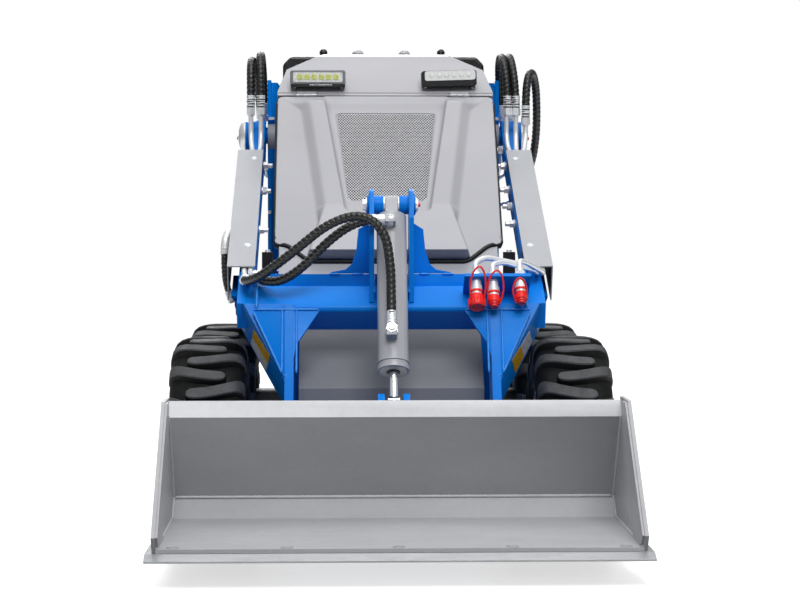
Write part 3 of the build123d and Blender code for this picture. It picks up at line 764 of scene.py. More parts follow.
# Inner and downward faces of the covers take the black seal material: painted shade where the covers' insides lie in
# shadow.
refined("tube_covers", (COVER_GREY, SEAL), 0.9, keep=lambda c, n: 1 if n.x * (1 if c.x > 0 else -1) < -0.6 or n.z < -0.6 else 0,
        twin=True)
refined("arm_tubes", ZINC_AND_REFLECTION, 0)
refined("coupler_bracket", BLUE, 1.2)
# Lip faces turned up and forward take the painted-highlight copy; back-wall faces turned down and forward take the
# painted-shade copy.
refined("bucket", (BUCKET, LIP_HIGHLIGHT, BACK_SHADE), 1.4, keep=lambda c, n: 1 if c.z > 316 and n.y < -0.4 and n.z > 0.1 and abs(c.x) < 480 else (
        2 if n.y < -0.6 and n.z < -0.35 and abs(c.x) < 480 else 0))
refined("cutting_edge", EDGE, 1.0)
refined("hitch_plate", BLUE, 1.6)
for side in ("left", "right"):
    refined(f"{side}_lift_barrel", BARREL_GREY, 1.2)
    refined(f"{side}_lift_rod", CHROME, 0.8)
refined("tilt_barrel", BARREL_GREY, 1.2)
refined("tilt_rod", CHROME, 0.8)




def slim_pin(c):
    """The arms' pins a little slimmer than their bores, and drawn in behind the caps."""
    if abs(c.z - 968) > 60:
        return c
    return (math.copysign(min(abs(c.x), 384.0), c.x), ARM_PIVOT[0] + (c.y - ARM_PIVOT[0]) * 0.985,
            ARM_PIVOT[1] + (c.z - ARM_PIVOT[1]) * 0.985)


refined("pivot_pins", (BLUE, COVER_GREY), 5, 4, keep=lambda c, n: 1 if abs(c.z - 968) > 60 else 0, move=slim_pin)

# ------------------------------------------------------------------ light, floor, world
world = bpy.data.worlds.new("studio")
scene.world = world
world.use_nodes = True
wt = world.node_tree


def world_node(kind, **values):
    n = wt.nodes.new(kind)
    for k, v in values.items():
        n.inputs[k].default_value = v
    return n


dark = wt.nodes["Background"]                      # what lights the machine: brighter above than below
direction = wt.nodes.new("ShaderNodeTexCoord")
split = wt.nodes.new("ShaderNodeSeparateXYZ")
wt.links.new(direction.outputs["Generated"], split.inputs[0])
lift = world_node("ShaderNodeMapRange", **{"From Min": -0.25, "From Max": 0.8, "To Min": 0.03, "To Max": 0.62})
wt.links.new(split.outputs["Z"], lift.inputs["Value"])
dark.inputs["Color"].default_value = (1, 1, 1, 1)
wt.links.new(lift.outputs["Result"], dark.inputs["Strength"])
white = world_node("ShaderNodeBackground", Color=(1, 1, 1, 1), Strength=1.0)
path = wt.nodes.new("ShaderNodeLightPath")
mixw = wt.nodes.new("ShaderNodeMixShader")
wt.links.new(path.outputs["Is Camera Ray"], mixw.inputs[0])
wt.links.new(dark.outputs[0], mixw.inputs[1])
wt.links.new(white.outputs[0], mixw.inputs[2])
wt.links.new(mixw.outputs[0], wt.nodes["World Output"].inputs["Surface"])


def area(name, loc, target, size, power, size_y=None):
    d = bpy.data.lights.new(name, "AREA")
    d.shape = "RECTANGLE"
    d.size, d.size_y, d.energy = size, size_y or size, power
    o = bpy.data.objects.new(name, d)
    o.location = loc
    o.rotation_euler = (Vector(target) - Vector(loc)).to_track_quat("-Z", "Y").to_euler()
    scene.collection.objects.link(o)
    return o


area("front_key", (0.6, -4.4, 5.3), (0, -0.2, 0.5), 3.4, 235, 2.2)
area("rear_key", (-0.7, 5.8, 3.9), (0, 0.2, 0.5), 3.4, 170, 2.2)
area("overhead", (0, 0.2, 4.4), (0, 0.2, 0.4), 3.0, 60, 3.0)

floor_shade = Shade("floor_white")
floor_shade.set(Specular_IOR_Level=0.3, Emission_Color=(1, 1, 1, 1), Emission_Strength=0.62)
floor_shade.base(floor_shade.mix(floor_shade.ramp(floor_shade.noise(1.2, 2.0), 0.3, 0.7), (0.90, 0.90, 0.90, 1), (0.92, 0.92, 0.92, 1)))
floor_shade.rough(floor_shade.ramp(floor_shade.noise(3.0, 2.0), 0.3, 0.7, 0.20, 0.26))
fm = bpy.data.meshes.new("floor")
fm.from_pydata([(-9, -7, 0), (9, -7, 0), (9, 9, 0), (-9, 9, 0)], [], [(0, 1, 2, 3)])
fm.materials.append(floor_shade.mat)
floor = bpy.data.objects.new("floor", fm)
floor.visible_diffuse = False
scene.collection.objects.link(floor)
scene.view_settings.view_transform = "Standard"
scene.view_settings.look = "None"

# ------------------------------------------------------------------ tyres
# carcass section: distance from the centre plane (outboard +), radius
CARCASS = [(-73.5, 105.5), (-80, 107), (-86.5, 114), (-88.6, 128), (-89.4, 133), (-89.4, 141), (-88.4, 146), (-88.6, 160),
           (-87.0, 176), (-82.5, 190), (-74, 200), (-58, 206.5), (-38, 209.5), (-8, 211), (-3, 212), (3, 212), (8, 211),
           (38, 209.5), (58, 206.5), (74, 200), (82.5, 190), (87.0, 176), (88.6, 160), (88.4, 146), (89.4, 141),
           (89.4, 133), (88.6, 128), (86.5, 114), (80, 107), (73.5, 105.5)]
# one lug, from its rounded end across the centre to the shoulder: t, top radius, root t, root radius, half width
LUG_LINE = [(-45.5, 225.5, -46.5, 207, 1.6), (-44.4, 227.8, -45, 206, 5.0), (-41.5, 229.0, -42, 205, 8.4), (-37, 229.6, -37, 204.5, 10.8),
            (-30, 229.8, -30, 204, 12.4), (-20, 229.9, -20, 204, 13.0), (0, 229.9, 0, 204, 13.2), (20, 229.7, 20, 204, 13.4),
            (38, 228.6, 38, 203, 13.8), (54, 226.0, 52, 200, 14.4), (68, 221.0, 64, 196, 15.2), (79, 212.5, 72, 190, 16.0),
            (85.5, 201.0, 77, 183, 16.6), (88.8, 188.0, 80, 176, 16.6), (89.9, 175.0, 82, 168, 15.0), (89.6, 166.0, 84, 160, 11.0)]


def tyre(name, side, y, first):
    """Twisted bar lugs on a round-shouldered carcass; side is +1 outboard to +X."""
    cx = side * 432.5
    p = Piece(TYRE, LUG_HIGHLIGHT)
    p.use(0)
    n = 96
    rings = []
    for i in range(n):
        t = TAU * i / n
        rings.append([(cx + a, y + r * math.cos(t), 230 + r * math.sin(t)) for a, r in CARCASS])
    rings.append(rings[0])
    m = len(CARCASS)
    verts = [q for r in rings[:-1] for q in r]
    faces = []
    for i in range(n):
        for j in range(m):
            a, b = i * m + j, i * m + (j + 1) % m
            c, d = ((i + 1) % n) * m + (j + 1) % m, ((i + 1) % n) * m + j
            faces.append((a, b, c, d))
    p.add(verts, faces)
    for k in range(30):
        out = 1 if k % 2 == 0 else -1          # lugs take turns from the two shoulders
        base = math.radians(180.0 - first + 12.0 * k)
        sg = side * out
        rings = []
        for t, rt, tb, rb, hw in LUG_LINE:
            share = max(0.0, (t + 43) / 133)
            turn = math.radians(8.5) * share ** 2.3
            a0 = base - turn
            ring = []
            for w, rr, tt in ((-hw - 5.5, rb, tb), (-hw - 0.8, rt - 3.0, t), (-hw + min(2.0, hw * 0.4), rt, t), (hw - min(2.0, hw * 0.4), rt, t),
                              (hw + 0.8, rt - 3.0, t), (hw + 5.5, rb, tb)):
                ang = a0 + w / 225.0
                ring.append((cx + sg * tt, y + rr * math.cos(ang), 230 + rr * math.sin(ang)))
            rings.append(ring)
        v = [q for r in rings for q in r]
        f, mt = [], []
        for i in range(len(rings) - 1):
            for j in range(6):
                a, b = i * 6 + j, i * 6 + (j + 1) % 6
                f.append((a, b, b + 6, a + 6))
                # the lugs' top faces take the lighter material: painted highlight on the tops
                mt.append(1 if j in (1, 2, 3) else 0)
        f += [tuple(reversed(range(6))), tuple(range((len(rings) - 1) * 6, len(rings) * 6))]
        mt += [0, 0]
        o = len(p.v)
        p.v += v
        p.f += [tuple(o + i for i in q) for q in f]
        p.m += mt
    o = p.make(name + "_tread", name.replace("_tyre", "_wheel"), smooth=34, replaces=(name,))
    return o


def rim_details(name, side, y):
    """Nuts, hub cap, valve and the rolled bead of one rim."""
    cx = side * 432.5
    d = (side, 0, 0)
    p = Piece(ZINC_AND_REFLECTION, RIM, SEAL)
    for i in range(6):
        a = TAU * (i + 0.25) / 6
        q = Vector((cx + side * 9.0, y + 68 * math.cos(a), 230 + 68 * math.sin(a)))
        p.use(0).lathe(q, d, [(0, 12.5), (1.6, 12.5), (2.4, 11.0)], 24)
        p.hexagon(q + Vector(d) * 2.4, d, 20, 11, 0.2 * i)
        p.lathe(q + Vector(d) * 13, d, [(0, 6), (6.5, 6), (7.5, 5)], 16)
    p.use(1).lathe((cx + side * 11.6, y, 230), d, [(0, 30), (4.4, 30), (5.2, 29), (6, 26.5), (18, 24), (22, 20), (24, 12), (24.4, 0)], 32)
    p.use(2).lathe((cx + side * 6, y + 82 * math.cos(1.1), 230 + 82 * math.sin(1.1)), d, [(0, 5), (5, 4.2), (22, 3.6)], 14)
    p.use(0).lathe((cx + side * 27, y + 82 * math.cos(1.1), 230 + 82 * math.sin(1.1)), d, [(0, 4.6), (8, 4.6), (9, 3.6)], 14)
    for t0 in (-1, 1):
        ring = [(cx + t0 * 75.5 + 3.2 * math.cos(TAU * k / 12), 101.4 + 3.2 * math.sin(TAU * k / 12)) for k in range(12)]
        n = 72
        v, f = [], []
        for i in range(n):
            t = TAU * i / n
            v += [(x, y + r * math.cos(t), 230 + r * math.sin(t)) for x, r in ring]
        for i in range(n):
            for j in range(12):
                f.append((i * 12 + j, i * 12 + (j + 1) % 12, ((i + 1) % n) * 12 + (j + 1) % 12, ((i + 1) % n) * 12 + j))
        p.use(1).add(v, f)
    return p.make(name + "_fittings", name.replace("_rim", "_wheel"), smooth=36)


for end, wy in (("front", -140.0), ("rear", 446.0)):
    for sname, side in (("left", -1), ("right", 1)):
        tyre(f"{sname}_{end}_tyre", side, wy, 41.0 if side < 0 else 40.0)
        refined(f"{sname}_{end}_rim", RIM, 1.5)
        rim_details(f"{sname}_{end}_rim", side, wy)

# ------------------------------------------------------------------ hood door: one pressed sheet with creases, channel and chin


def lerp(a, b, t):
    return a + (b - a) * t


def ease(t):
    t = max(0.0, min(1.0, t))
    return t * t * (3 - 2 * t)


def line2(s, s0, v0, s1, v1):
    return v0 + (v1 - v0) * (s - s0) / (s1 - s0)


DOOR_HALF, DOOR_TOP = 283.0, 4.0


def door_bottom(x):
    x = abs(x)
    if x <= 196:
        b = 545.0
    elif x <= 252:
        b = lerp(545.0, 493.0, (x - 196) / 56)
    else:
        b = 493.0
    if x > 270:
        b -= 13 - math.sqrt(max(0.0, 13 ** 2 - (x - 270) ** 2))
    for c in (196.0, 252.0):                       # soft corners of the outline
        d = abs(x - c)
        if d < 9:
            b += (-1 if c < 200 else 1) * 3.2 * (1 - d / 9) ** 2
    return b


def door_top(x):
    x = abs(x)
    return DOOR_TOP + (15 - math.sqrt(max(0.0, 15 ** 2 - (x - 268) ** 2)) if x > 268 else 0.0)


def grille_half(s):
    h = line2(s, 61, 126.7, 355, 97.5)
    for s0, sg in ((61.0, 1), (355.0, -1)):        # rounded corners of the opening
        d = (s - s0) * sg
        if 0 <= d < 12:
            h -= (12 - math.sqrt(max(0.0, 12 ** 2 - (12 - d) ** 2)))
    return h


def crease1(s):
    if s < 52:
        return line2(s, 12, 266, 52, 221)
    if s < 424:
        return line2(s, 52, 221, 424, 174)
    return line2(s, 424, 174, 545, 204)


def crease2(s):
    if s < 380:
        return line2(s, 30, 200, 380, 158)
    return line2(s, 380, 158, 545, 196)


def channel(s):
    c = line2(s, 10, 165, 388, 111)
    if s > 392:                                    # rounded lower corners
        c -= 18 - math.sqrt(max(0.0, 18 ** 2 - (min(s, 409.9) - 392) ** 2))
    return c


def raised(s):
    h = 16.0 * ease((s - 8) / 26)
    if s > 378:
        h += 6.5 * ease((s - 378) / 11) + max(0.0, s - 386) * 0.145
    return h


def door_height(x, s):
    x = abs(x)
    H = raised(s)
    c1, c2, c3 = crease1(s), crease2(s), channel(s)
    if x >= c3 or s > 412:
        # plane, sloping band, raised plane, with rounded changes between them
        w = min(6.0, (c1 - c2) * 0.3)
        k = H / max(1e-6, c1 - c2)
        if x >= c1 + w:
            n = 0.0
        elif x > c1 - w:
            n = k * (c1 + w - x) ** 2 / (4 * w)
        elif x >= c2 + w:
            n = k * (c1 - x)
        elif x > c2 - w:
            n = H - k * (x - c2 + w) ** 2 / (4 * w)
        else:
            n = H
    else:
        floor_n = -1.0 + 3.5 * ease((52 - s) / 22)
        top = lerp(floor_n, H, ease((s - 398) / 12)) if s > 398 else floor_n
        n = top if x <= c3 - 9 else lerp(top, H, ease((x - c3 + 9) / 9))
    return n


def hood():
    rows_s = [4, 5.5, 8, 12, 18, 24, 30, 34, 42, 52, 60.9, 61.1, 64, 68, 73, 85, 100, 120, 145, 170, 195, 220, 245, 270, 295, 320,
              343, 348, 352, 354.9, 355.1, 359, 364, 370, 376, 378, 380, 382, 384, 386, 388, 390, 394, 398, 400, 402, 404, 406, 408, 410, 412,
              414, 418, 424, 440, 455, 470]
    tail = [0.16, 0.32, 0.5, 0.66, 0.8, 0.9, 0.96, 0.985, 1.0]
    p = Piece(GREY)
    half_cols = []

    def columns(s):
        g = grille_half(min(max(s, 61), 355))
        c1, c2, c3 = crease1(s), crease2(s), channel(min(s, 406))
        cols = [0, g * 0.25, g * 0.5, g * 0.75, g]
        cols += [lerp(g, c3 - 8, 0.5), c3 - 8, c3 - 6, c3 - 4.5, c3 - 3, c3 - 1.5, c3 + 0.2, c3 + 3]
        w = min(6.0, (c1 - c2) * 0.3)
        cols += [lerp(c3 + 3, c2 - 6, 0.5), c2 - 6, c2 - 2, c2 + w * 0.4, c2 + w, c1 - w, c1 - w * 0.3, c1 + 2, c1 + 6]
        cols += [lerp(c1 + 6, 272, 0.5), max(272.0, c1 + 7), 276.5, 280, 282, DOOR_HALF]
        for k in range(1, len(cols)):
            cols[k] = max(cols[k], cols[k - 1] + 0.05)
        cols[-1] = DOOR_HALF
        for k in range(len(cols) - 2, 0, -1):
            cols[k] = min(cols[k], cols[k + 1] - 0.05)
        return cols

    srows = list(rows_s)
    grid = []
    for s in srows:
        cols = columns(s)
        row = []
        for x in [-c for c in cols[:0:-1]] + cols:
            if s < 24:
                t0 = door_top(x)
                ss = t0 + (s - DOOR_TOP) * (24 - t0) / (24 - DOOR_TOP)
            else:
                ss = s
            row.append((x, ss, door_height(x, ss)))
        grid.append(row)
    base_cols = columns(470)
    for v in tail:
        row = []
        # columns drift so that the creases follow the flare of the chin
        for x0 in [-c for c in base_cols[:0:-1]] + base_cols:
            x = x0
            sb = door_bottom(x)
            ss = 470 + (sb - 470) * v
            a = abs(x)
            if a < 282:
                c470, cs = crease2(470), crease2(ss)
                if a <= c470:
                    a2 = a * cs / c470
                else:
                    a2 = cs + (a - c470) * (DOOR_HALF - cs) / (DOOR_HALF - c470)
                x = math.copysign(a2, x) if x else 0.0
                ss = 470 + (door_bottom(x) - 470) * v
            row.append((x, ss, door_height(x, ss)))
        grid.append(row)
    # rolled edges: soft shoulder, then a wall back
    m = len(grid[0])
    out = []
    nr = len(grid)
    wall = 18.0
    full = []
    for i, row in enumerate(grid):
        r = list(row)
        x, s, n = r[0]
        x1, s1, n1 = r[-1]
        r = [(x, s, -wall), (x, s, n - 2.2)] + [(x + 0.7, s, n - 0.6)] + r[1:-1] + [(x1 - 0.7, s1, n1 - 0.6)] + [(x1, s1, n1 - 2.2), (x1, s1, -wall)]
        full.append(r)
    first, last = full[0], full[-1]
    top1 = [(x, s, n if n < -2 else n - 2.2) for x, s, n in first]
    top2 = [(x, s, -wall) for x, s, n in first]
    bot1 = [(x, s, n if n < -2 else n - 2.2) for x, s, n in last]
    bot2 = [(x, s, -wall) for x, s, n in last]
    first = [(x, s + 0.7, n if n < -2 else n - 0.5) for x, s, n in first]
    last = [(x, s - 0.7, n if n < -2 else n - 0.5) for x, s, n in last]
    full = [top2, top1, first] + full[1:-1] + [last, bot1, bot2]
    m = len(full[0])
    verts = [door_point(*q) for r in full for q in r]
    faces = []
    for i in range(len(full) - 1):
        s_mid = (full[i][m // 2][1] + full[i + 1][m // 2][1]) / 2
        for j in range(m - 1):
            x_mid = (full[i][j][0] + full[i][j + 1][0] + full[i + 1][j][0] + full[i + 1][j + 1][0]) / 4
            if 61.0 < s_mid < 355.0 and abs(x_mid) < min(grille_half(full[i][m // 2][1]), grille_half(full[i + 1][m // 2][1])) + 0.01 \
                    and abs(full[i][j][0]) <= grille_half(full[i][m // 2][1]) + 0.5:
                continue
            a = i * m + j
            faces.append((a, a + 1, a + m + 1, a + m))
    p.add(verts, faces)
    me = bpy.data.meshes.new("hood_door_skin")
    me.from_pydata([(x * MM, y * MM, z * MM) for x, y, z in p.v], [], p.f)
    me.materials.append(GREY)
    bm = bmesh.new()
    bm.from_mesh(me)
    bmesh.ops.remove_doubles(bm, verts=bm.verts, dist=1e-6)
    bmesh.ops.dissolve_degenerate(bm, edges=bm.edges, dist=1e-6)
    bmesh.ops.recalc_face_normals(bm, faces=bm.faces)
    # the front has to face out of the hood
    up = sum((f.normal for f in bm.faces), Vector())
    if up.dot(Vector((0, DOOR_OUT[0], DOOR_OUT[1]))) < 0:
        bmesh.ops.reverse_faces(bm, faces=bm.faces)
    loose = [v for v in bm.verts if not v.link_faces]
    bmesh.ops.delete(bm, geom=loose, context="VERTS")
    bm.to_mesh(me)
    bm.free()
    me.shade_smooth()
    o = bpy.data.objects.new("hood_door_skin", me)
    scene.collection.objects.link(o)
    th = o.modifiers.new("sheet", "SOLIDIFY")
    th.thickness, th.offset = 2.4 * MM, -1.0
    th.use_even_offset = True
    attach(o, "hood")
    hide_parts("hood_door")
    return o


hood()


def grille():
    """Punched sheet: staggered round holes, one in each diamond cell, with the holes' walls."""
    px, ps, r = 3.6, 4.4, 2.6
    n0, n1 = -3.2, -4.6
    verts, faces = [], []
    seen = {}

    def vert(x, s, n):
        key = (round(x, 2), round(s, 2), n)
        if key not in seen:
            seen[key] = len(verts)
            verts.append(door_point(x, s, n))
        return seen[key]

    for i in range(int((355 - 61 + 14) / ps) + 1):
        s = 54 + i * ps
        lim = grille_half(min(max(s, 75), 341)) + 7
        k = int(lim / (2 * px)) + 1
        for j in range(-k, k + 1):
            x = 2 * px * j + (px if i % 2 else 0.0)
            if abs(x) > lim:
                continue
            corner = [(x + px, s), (x, s + ps), (x - px, s), (x, s - ps)]
            hole = [(x + r * math.cos(TAU * q / 12), s + r * math.sin(TAU * q / 12)) for q in range(12)]
            cf = [vert(a, b, n0) for a, b in corner]
            cb = [vert(a, b, n1) for a, b in corner]
            hf = [vert(a, b, n0) for a, b in hole]
            hb = [vert(a, b, n1) for a, b in hole]
            for q in range(4):
                e = (q + 1) % 4
                h = [hf[(3 * q + t) % 12] for t in range(4)]
                g = [hb[(3 * q + t) % 12] for t in range(4)]
                faces.append((cf[q], cf[e], h[3], h[2], h[1], h[0]))
                faces.append((cb[e], cb[q], g[0], g[1], g[2], g[3]))
            for q in range(12):
                e = (q + 1) % 12
                faces.append((hf[q], hf[e], hb[e], hb[q]))
    p = Piece(GRILLE_GREY)
    p.add(verts, faces)
    return p.make("hood_grille_sheet", "hood", smooth=50)


grille()
# the CAD's plate behind the punched sheet, dressed black: a filter screen, and painted shade for the dark inside of the
# hood seen through the holes
refined("hood_grille", SEAL, 0)

# seal round the door
seal = Piece(SEAL)
side_path = [(-284.5, s, -12) for s in (16, 120, 240, 360, 470)] + [(-284.3, 479, -12)]
bottom = []
for k in range(0, 61):
    x = -278 + 556 * k / 60
    bottom.append((x, door_bottom(x) + 4.2, lerp(-9, 1.5, min(1.0, max(0.0, (276 - abs(x)) / 14)))))
ring = side_path + bottom + [(-a, b, c) for a, b, c in side_path[::-1]]


def seal_r(t, i):
    s = ring[i][1]
    return 3.6 if s < 470 else lerp(3.6, 5.6, ease((s - 470) / 22))


seal.tube([door_point(*q) for q in ring], seal_r, 12)
seal.tube([door_point(x, 3.2, -10) for x in (-262, -90, 90, 262)], 2.2, 10)
seal.make("hood_seal", "hood", smooth=60)

# ------------------------------------------------------------------ hinges, lamps


def rounded(cx, cz, w, h, r, n=5):
    """Rounded rectangle as (x, z) points."""
    pts = []
    for sx, sz, a0 in ((1, 1, 0), (-1, 1, 90), (-1, -1, 180), (1, -1, 270)):
        for k in range(n + 1):
            a = math.radians(a0 + 90 * k / n)
            pts.append((cx + sx * (w / 2 - r) + r * math.cos(a), cz + sz * (h / 2 - r) + r * math.sin(a)))
    return pts


hinges = Piece(ZINC_AND_REFLECTION, STEEL, GREY)
for x0, x1 in ((-236, -179), (169, 222)):
    third = (x1 - x0) / 3
    hinges.use(1)
    for k in range(3):
        hinges.rod((x0 + third * k + 0.5, *HINGE), (x0 + third * (k + 1) - 0.5, *HINGE), 5.5, 20, 0.8)
    hinges.use(1)
    hinges.prism([door_point(x0 + 2, -13, 2.2), door_point(x1 - 2, -13, 2.2), door_point(x1 - 2, -3, 2.2),
                  door_point(x0 + 2, -3, 2.2)], Vector((0, *DOOR_OUT)) * 1.6)
# folded lip of the cowl down to the hinge line
hinges.use(2).prism([(-284, 352.6, 1078.4), (-284, 339.8, 1067.4), (-284, 342.4, 1064.4), (-284, 355, 1074.4)], (568, 0, 0))
hinges.make("hood_hinge_knuckles", "chassis", bevel=0.4, smooth=40)

for name, cx, tilt, body_mat in (("left_work_light", -178.0, 0.0, 0), ("right_work_light", 168.0, 0.03, 1)):
    p = Piece(BLACK_PLASTIC, LED_GROUND, LED, CHROME, WHITE_LENS, STEEL)

    def lamp(x, y, z, c=(cx, 1112.5), t=tilt):
        dx, dz = x, z
        return (c[0] + dx * math.cos(t) - dz * math.sin(t), y, c[1] + dx * math.sin(t) + dz * math.cos(t))

    def plate(w, h, r, y0, y1, dz=0.0, dx=0.0):
        pts = [lamp(x + dx, y0, z + dz) for x, z in rounded(0, 0, w, h, r)]
        p.prism(pts, (0, y1 - y0, 0))
    if body_mat == 0:
        p.use(5)
        plate(146, 40, 6, 340, 362, 1)
        p.use(5)
        plate(143, 37, 5, 337.8, 341, 1.5)
        p.use(5)
        plate(136, 31, 4, 336.6, 340, 2.0)
        p.use(1)
        plate(130, 25.5, 3.5, 336.0, 339, 2.4)
        p.use(2)
        for k in range(6):
            plate(14.5, 13.5, 3.2, 334.9, 337, 2.6, -47.5 + 19 * k)
        p.use(0)
        plate(144, 8, 3, 333.5, 360, -19.5)
        p.use(3)
        plate(60, 3.4, 1.5, 332.8, 336, -18.6, 8)
    else:
        p.use(0)
        plate(146, 42, 7, 338, 364, 0)
        plate(144, 16, 4, 334.5, 345, -11.5, -1)
        plate(10, 38, 4, 335, 345, 0.5, -67)
        p.use(4)
        plate(134, 25, 6, 334.2, 341, 7.5, 3)
        p.use(1)
        for k in range(6):
            c = lamp(-48 + 19.5 * k + 3, 333.9, 8)
            p.lathe(c, (0, 1, 0), [(0, 6.8), (0.1, 7.2), (1.5, 7.4)], 20)
            p.use(4)
            p.lathe(Vector(c) - Vector((0, 0.35, 0)), (0, 1, 0), [(0, 3.6), (0.2, 4.2), (1.5, 4.4)], 16)
            p.use(1)
    p.use(0)
    p.block(cx - 30, cx + 30, 352, 396, 1096, 1101)
    p.block(cx - 12, cx + 12, 360, 372, 1086, 1101)
    p.use(5)
    p.bolt((cx - 62, 351, 1090), (0, 0, -1), 5)
    p.bolt((cx + 62, 351, 1090), (0, 0, -1), 5)
    p.make(name, "chassis", bevel=0.7, segments=2, smooth=40, replaces=("work_lights",))

# ------------------------------------------------------------------ hose ends


def end_fitting(p, end, d, sleeve=36, nut=19, r=12.6, across=23, tail=0, turn=0.2):
    """Crimped sleeve over the hose's last stretch and a nut beyond it; d points away from the hose."""
    end, d = Vector(end), Vector(d).normalized()
    prof = [(-sleeve, r - 1.6), (-sleeve + 1.2, r)]
    n = 4
    step = (sleeve - 6) / n
    for k in range(n):
        t0 = -sleeve + 3 + k * step
        prof += [(t0, r), (t0 + 0.9, r - 1.1), (t0 + step * 0.62, r - 1.1), (t0 + step * 0.62 + 0.9, r)]
    prof += [(-1.2, r), (0, r - 1.5), (0.8, r - 3.6), (3.2, r - 3.8)]
    p.lathe(end, d, prof, 26)
    p.hexagon(end + d * 2.6, d, across, nut - 4, turn)
    p.lathe(end + d * (nut - 2), d, [(0, across * 0.43), (2.0, across * 0.43), (3.0, across * 0.38)], 24)
    if tail:
        p.lathe(end + d * (nut + 1), d, [(0, 7.4), (tail, 7.4)], 18)


TOPS = {"left_loop_outer": -359, "left_loop_inner": -332, "right_loop_inner": 332, "right_loop_middle": 355,
        "right_loop_outer": 381.5}
p = Piece(ZINC_AND_REFLECTION)
for k, x in enumerate(TOPS.values()):
    end_fitting(p, (x, 452, 1044 if x < 380 else 1018), (0, 0, -1), sleeve=30, nut=24, r=11.6, across=21.5, turn=0.2 * k)
p.make("arm_hose_fittings", "lift_arms", smooth=32)

p = Piece(ZINC_AND_REFLECTION, BLUE, STEEL, SEAL)
for nm in ("left_loop_outer", "left_loop_inner", "right_loop_inner", "right_loop_middle", "right_loop_outer"):
    a, b = Vector(HOSES[nm][-1]) / MM, Vector(HOSES[nm][-2]) / MM
    d = (a - b).normalized()
    p.use(0)
    end_fitting(p, a, d, sleeve=34, nut=18)
# bulkhead brackets on the towers and the steel tubes behind them
for sg, pts in ((-1, ((338, 626, 1002), (331, 648, 1014))), (1, ((331, 648, 1010), (353, 624, 1003)))):
    p.use(1)
    p.prism([(sg * 318, 608, 988), (sg * 372, 608, 988), (sg * 372, 664, 988), (sg * 318, 664, 988)], (0, 0, 7))
    p.use(0)
    for x, y, z in pts:
        p.hexagon((sg * x, y, 996), (0, 0, -1), 26, 6, 0.1)
        p.tube([(sg * x, y, 1000), (sg * x, y + 4, 975), (sg * (x + 1), y + 16, 945), (sg * (x + 2), y + 24 if y > 640 else y + 40, 905),
                (sg * (x - 6), 690, 868), (sg * (x - 30), 697, 852), (sg * 268, 697, 848)], 6.5, 14)
p.use(0)
p.tube([(388, 643, 822), (376, 655, 800), (350, 676, 786), (318, 690, 780), (268, 692, 778)], 6.5, 14)
p.make("tower_hose_fittings", "chassis", smooth=32)

# left lift hose: elbow out of the cover above, a nut at the clevis below
p = Piece(ZINC_AND_REFLECTION, NUT_AND_REFLECTION)
L = [Vector(q) / MM for q in HOSES["left_lift_hose"]]
p.use(1).tube([(-386, 26, 712), (-392, 14, 712), (-398, 4, 706), (-402.5, -3, 694), (-404, -7, 680), (-404.4, -9, 668)],
              lambda t, i: (7.0, 8.6, 9.2, 9.4, 9.8, 9.8)[i], 16)
p.use(1).lathe((-404.4, -8.6, 672), (-0.01, -0.1, -1), [(0, 9.6), (1, 10.3), (6, 10.3), (7, 9.4), (9, 9.4), (10, 10.3), (16, 10.3), (17, 9.4)], 24)
p.use(0)
end_fitting(p, L[-1], L[-1] - L[-2], sleeve=16, nut=12, r=9.8, across=19)
p.make("left_lift_hose_fittings", "lift_arms", smooth=32)

# start of the two tilt hoses at the arm tubes
p = Piece(ZINC_AND_REFLECTION)
for nm in ("tilt_hose_lower", "tilt_hose_upper"):
    a, b = Vector(HOSES[nm][0]) / MM, Vector(HOSES[nm][1]) / MM
    end_fitting(p, a, a - b, sleeve=22, nut=17, across=21)
p.make("tilt_hose_tube_nuts", "lift_arms", smooth=32)

# tilt cylinder's ports
p = Piece(ZINC_AND_REFLECTION, NUT_AND_REFLECTION, RED, BARREL_GREY)
low = Vector((-4, *LOW_PORT))
w3 = Vector((0, *W))
out3 = Vector((0, -W[1], W[0])) * -1
if out3.y > 0:
    out3 = -out3
p.use(0)
end_fitting(p, low - w3 * 8, w3, sleeve=30, nut=5, across=23)
p.use(1).hexagon(low + w3 * 6 - out3 * 2, out3, 25, 17, 0.35, 1.6)
p.use(0).lathe(low + w3 * 6 - out3 * 14, out3, [(0, 15), (11, 15), (12.5, 13.5)], 28)
p.lathe(low + w3 * 6 + out3 * 14, out3, [(0, 8.2), (4.6, 8.2), (5.6, 7.0)], 20)
top = Vector((-8, *TOP_PORT))
p.use(0)
end_fitting(p, top + Vector((-54, 0, 0)), (1, 0, 0), sleeve=20, nut=6, across=23)
p.use(1).hexagon(top + Vector((-50, 0, 0)), (1, 0, 0), 25, 12, 0.1, 1.6)
p.use(0).lathe(top + Vector((-38, 0, 0)), (1, 0, 0), [(0, 12.4), (1, 13), (9, 13), (10, 11.8), (14, 11.8), (15, 12.8), (28, 12.8), (34, 12.8)], 26)
p.use(1).lathe(top + Vector((4, 0, 0)) - out3 * 15, out3, [(0, 14), (26, 14), (28.6, 12.6), (30, 9)], 30)
p.use(2).lathe(top + Vector((-60, 0, 0)), (1, 0, 0), [(0, 13.4), (1, 13.7), (3.6, 13.7), (4.4, 13.4)], 26)
p.make("tilt_port_fittings", "tilt_barrel", smooth=34)

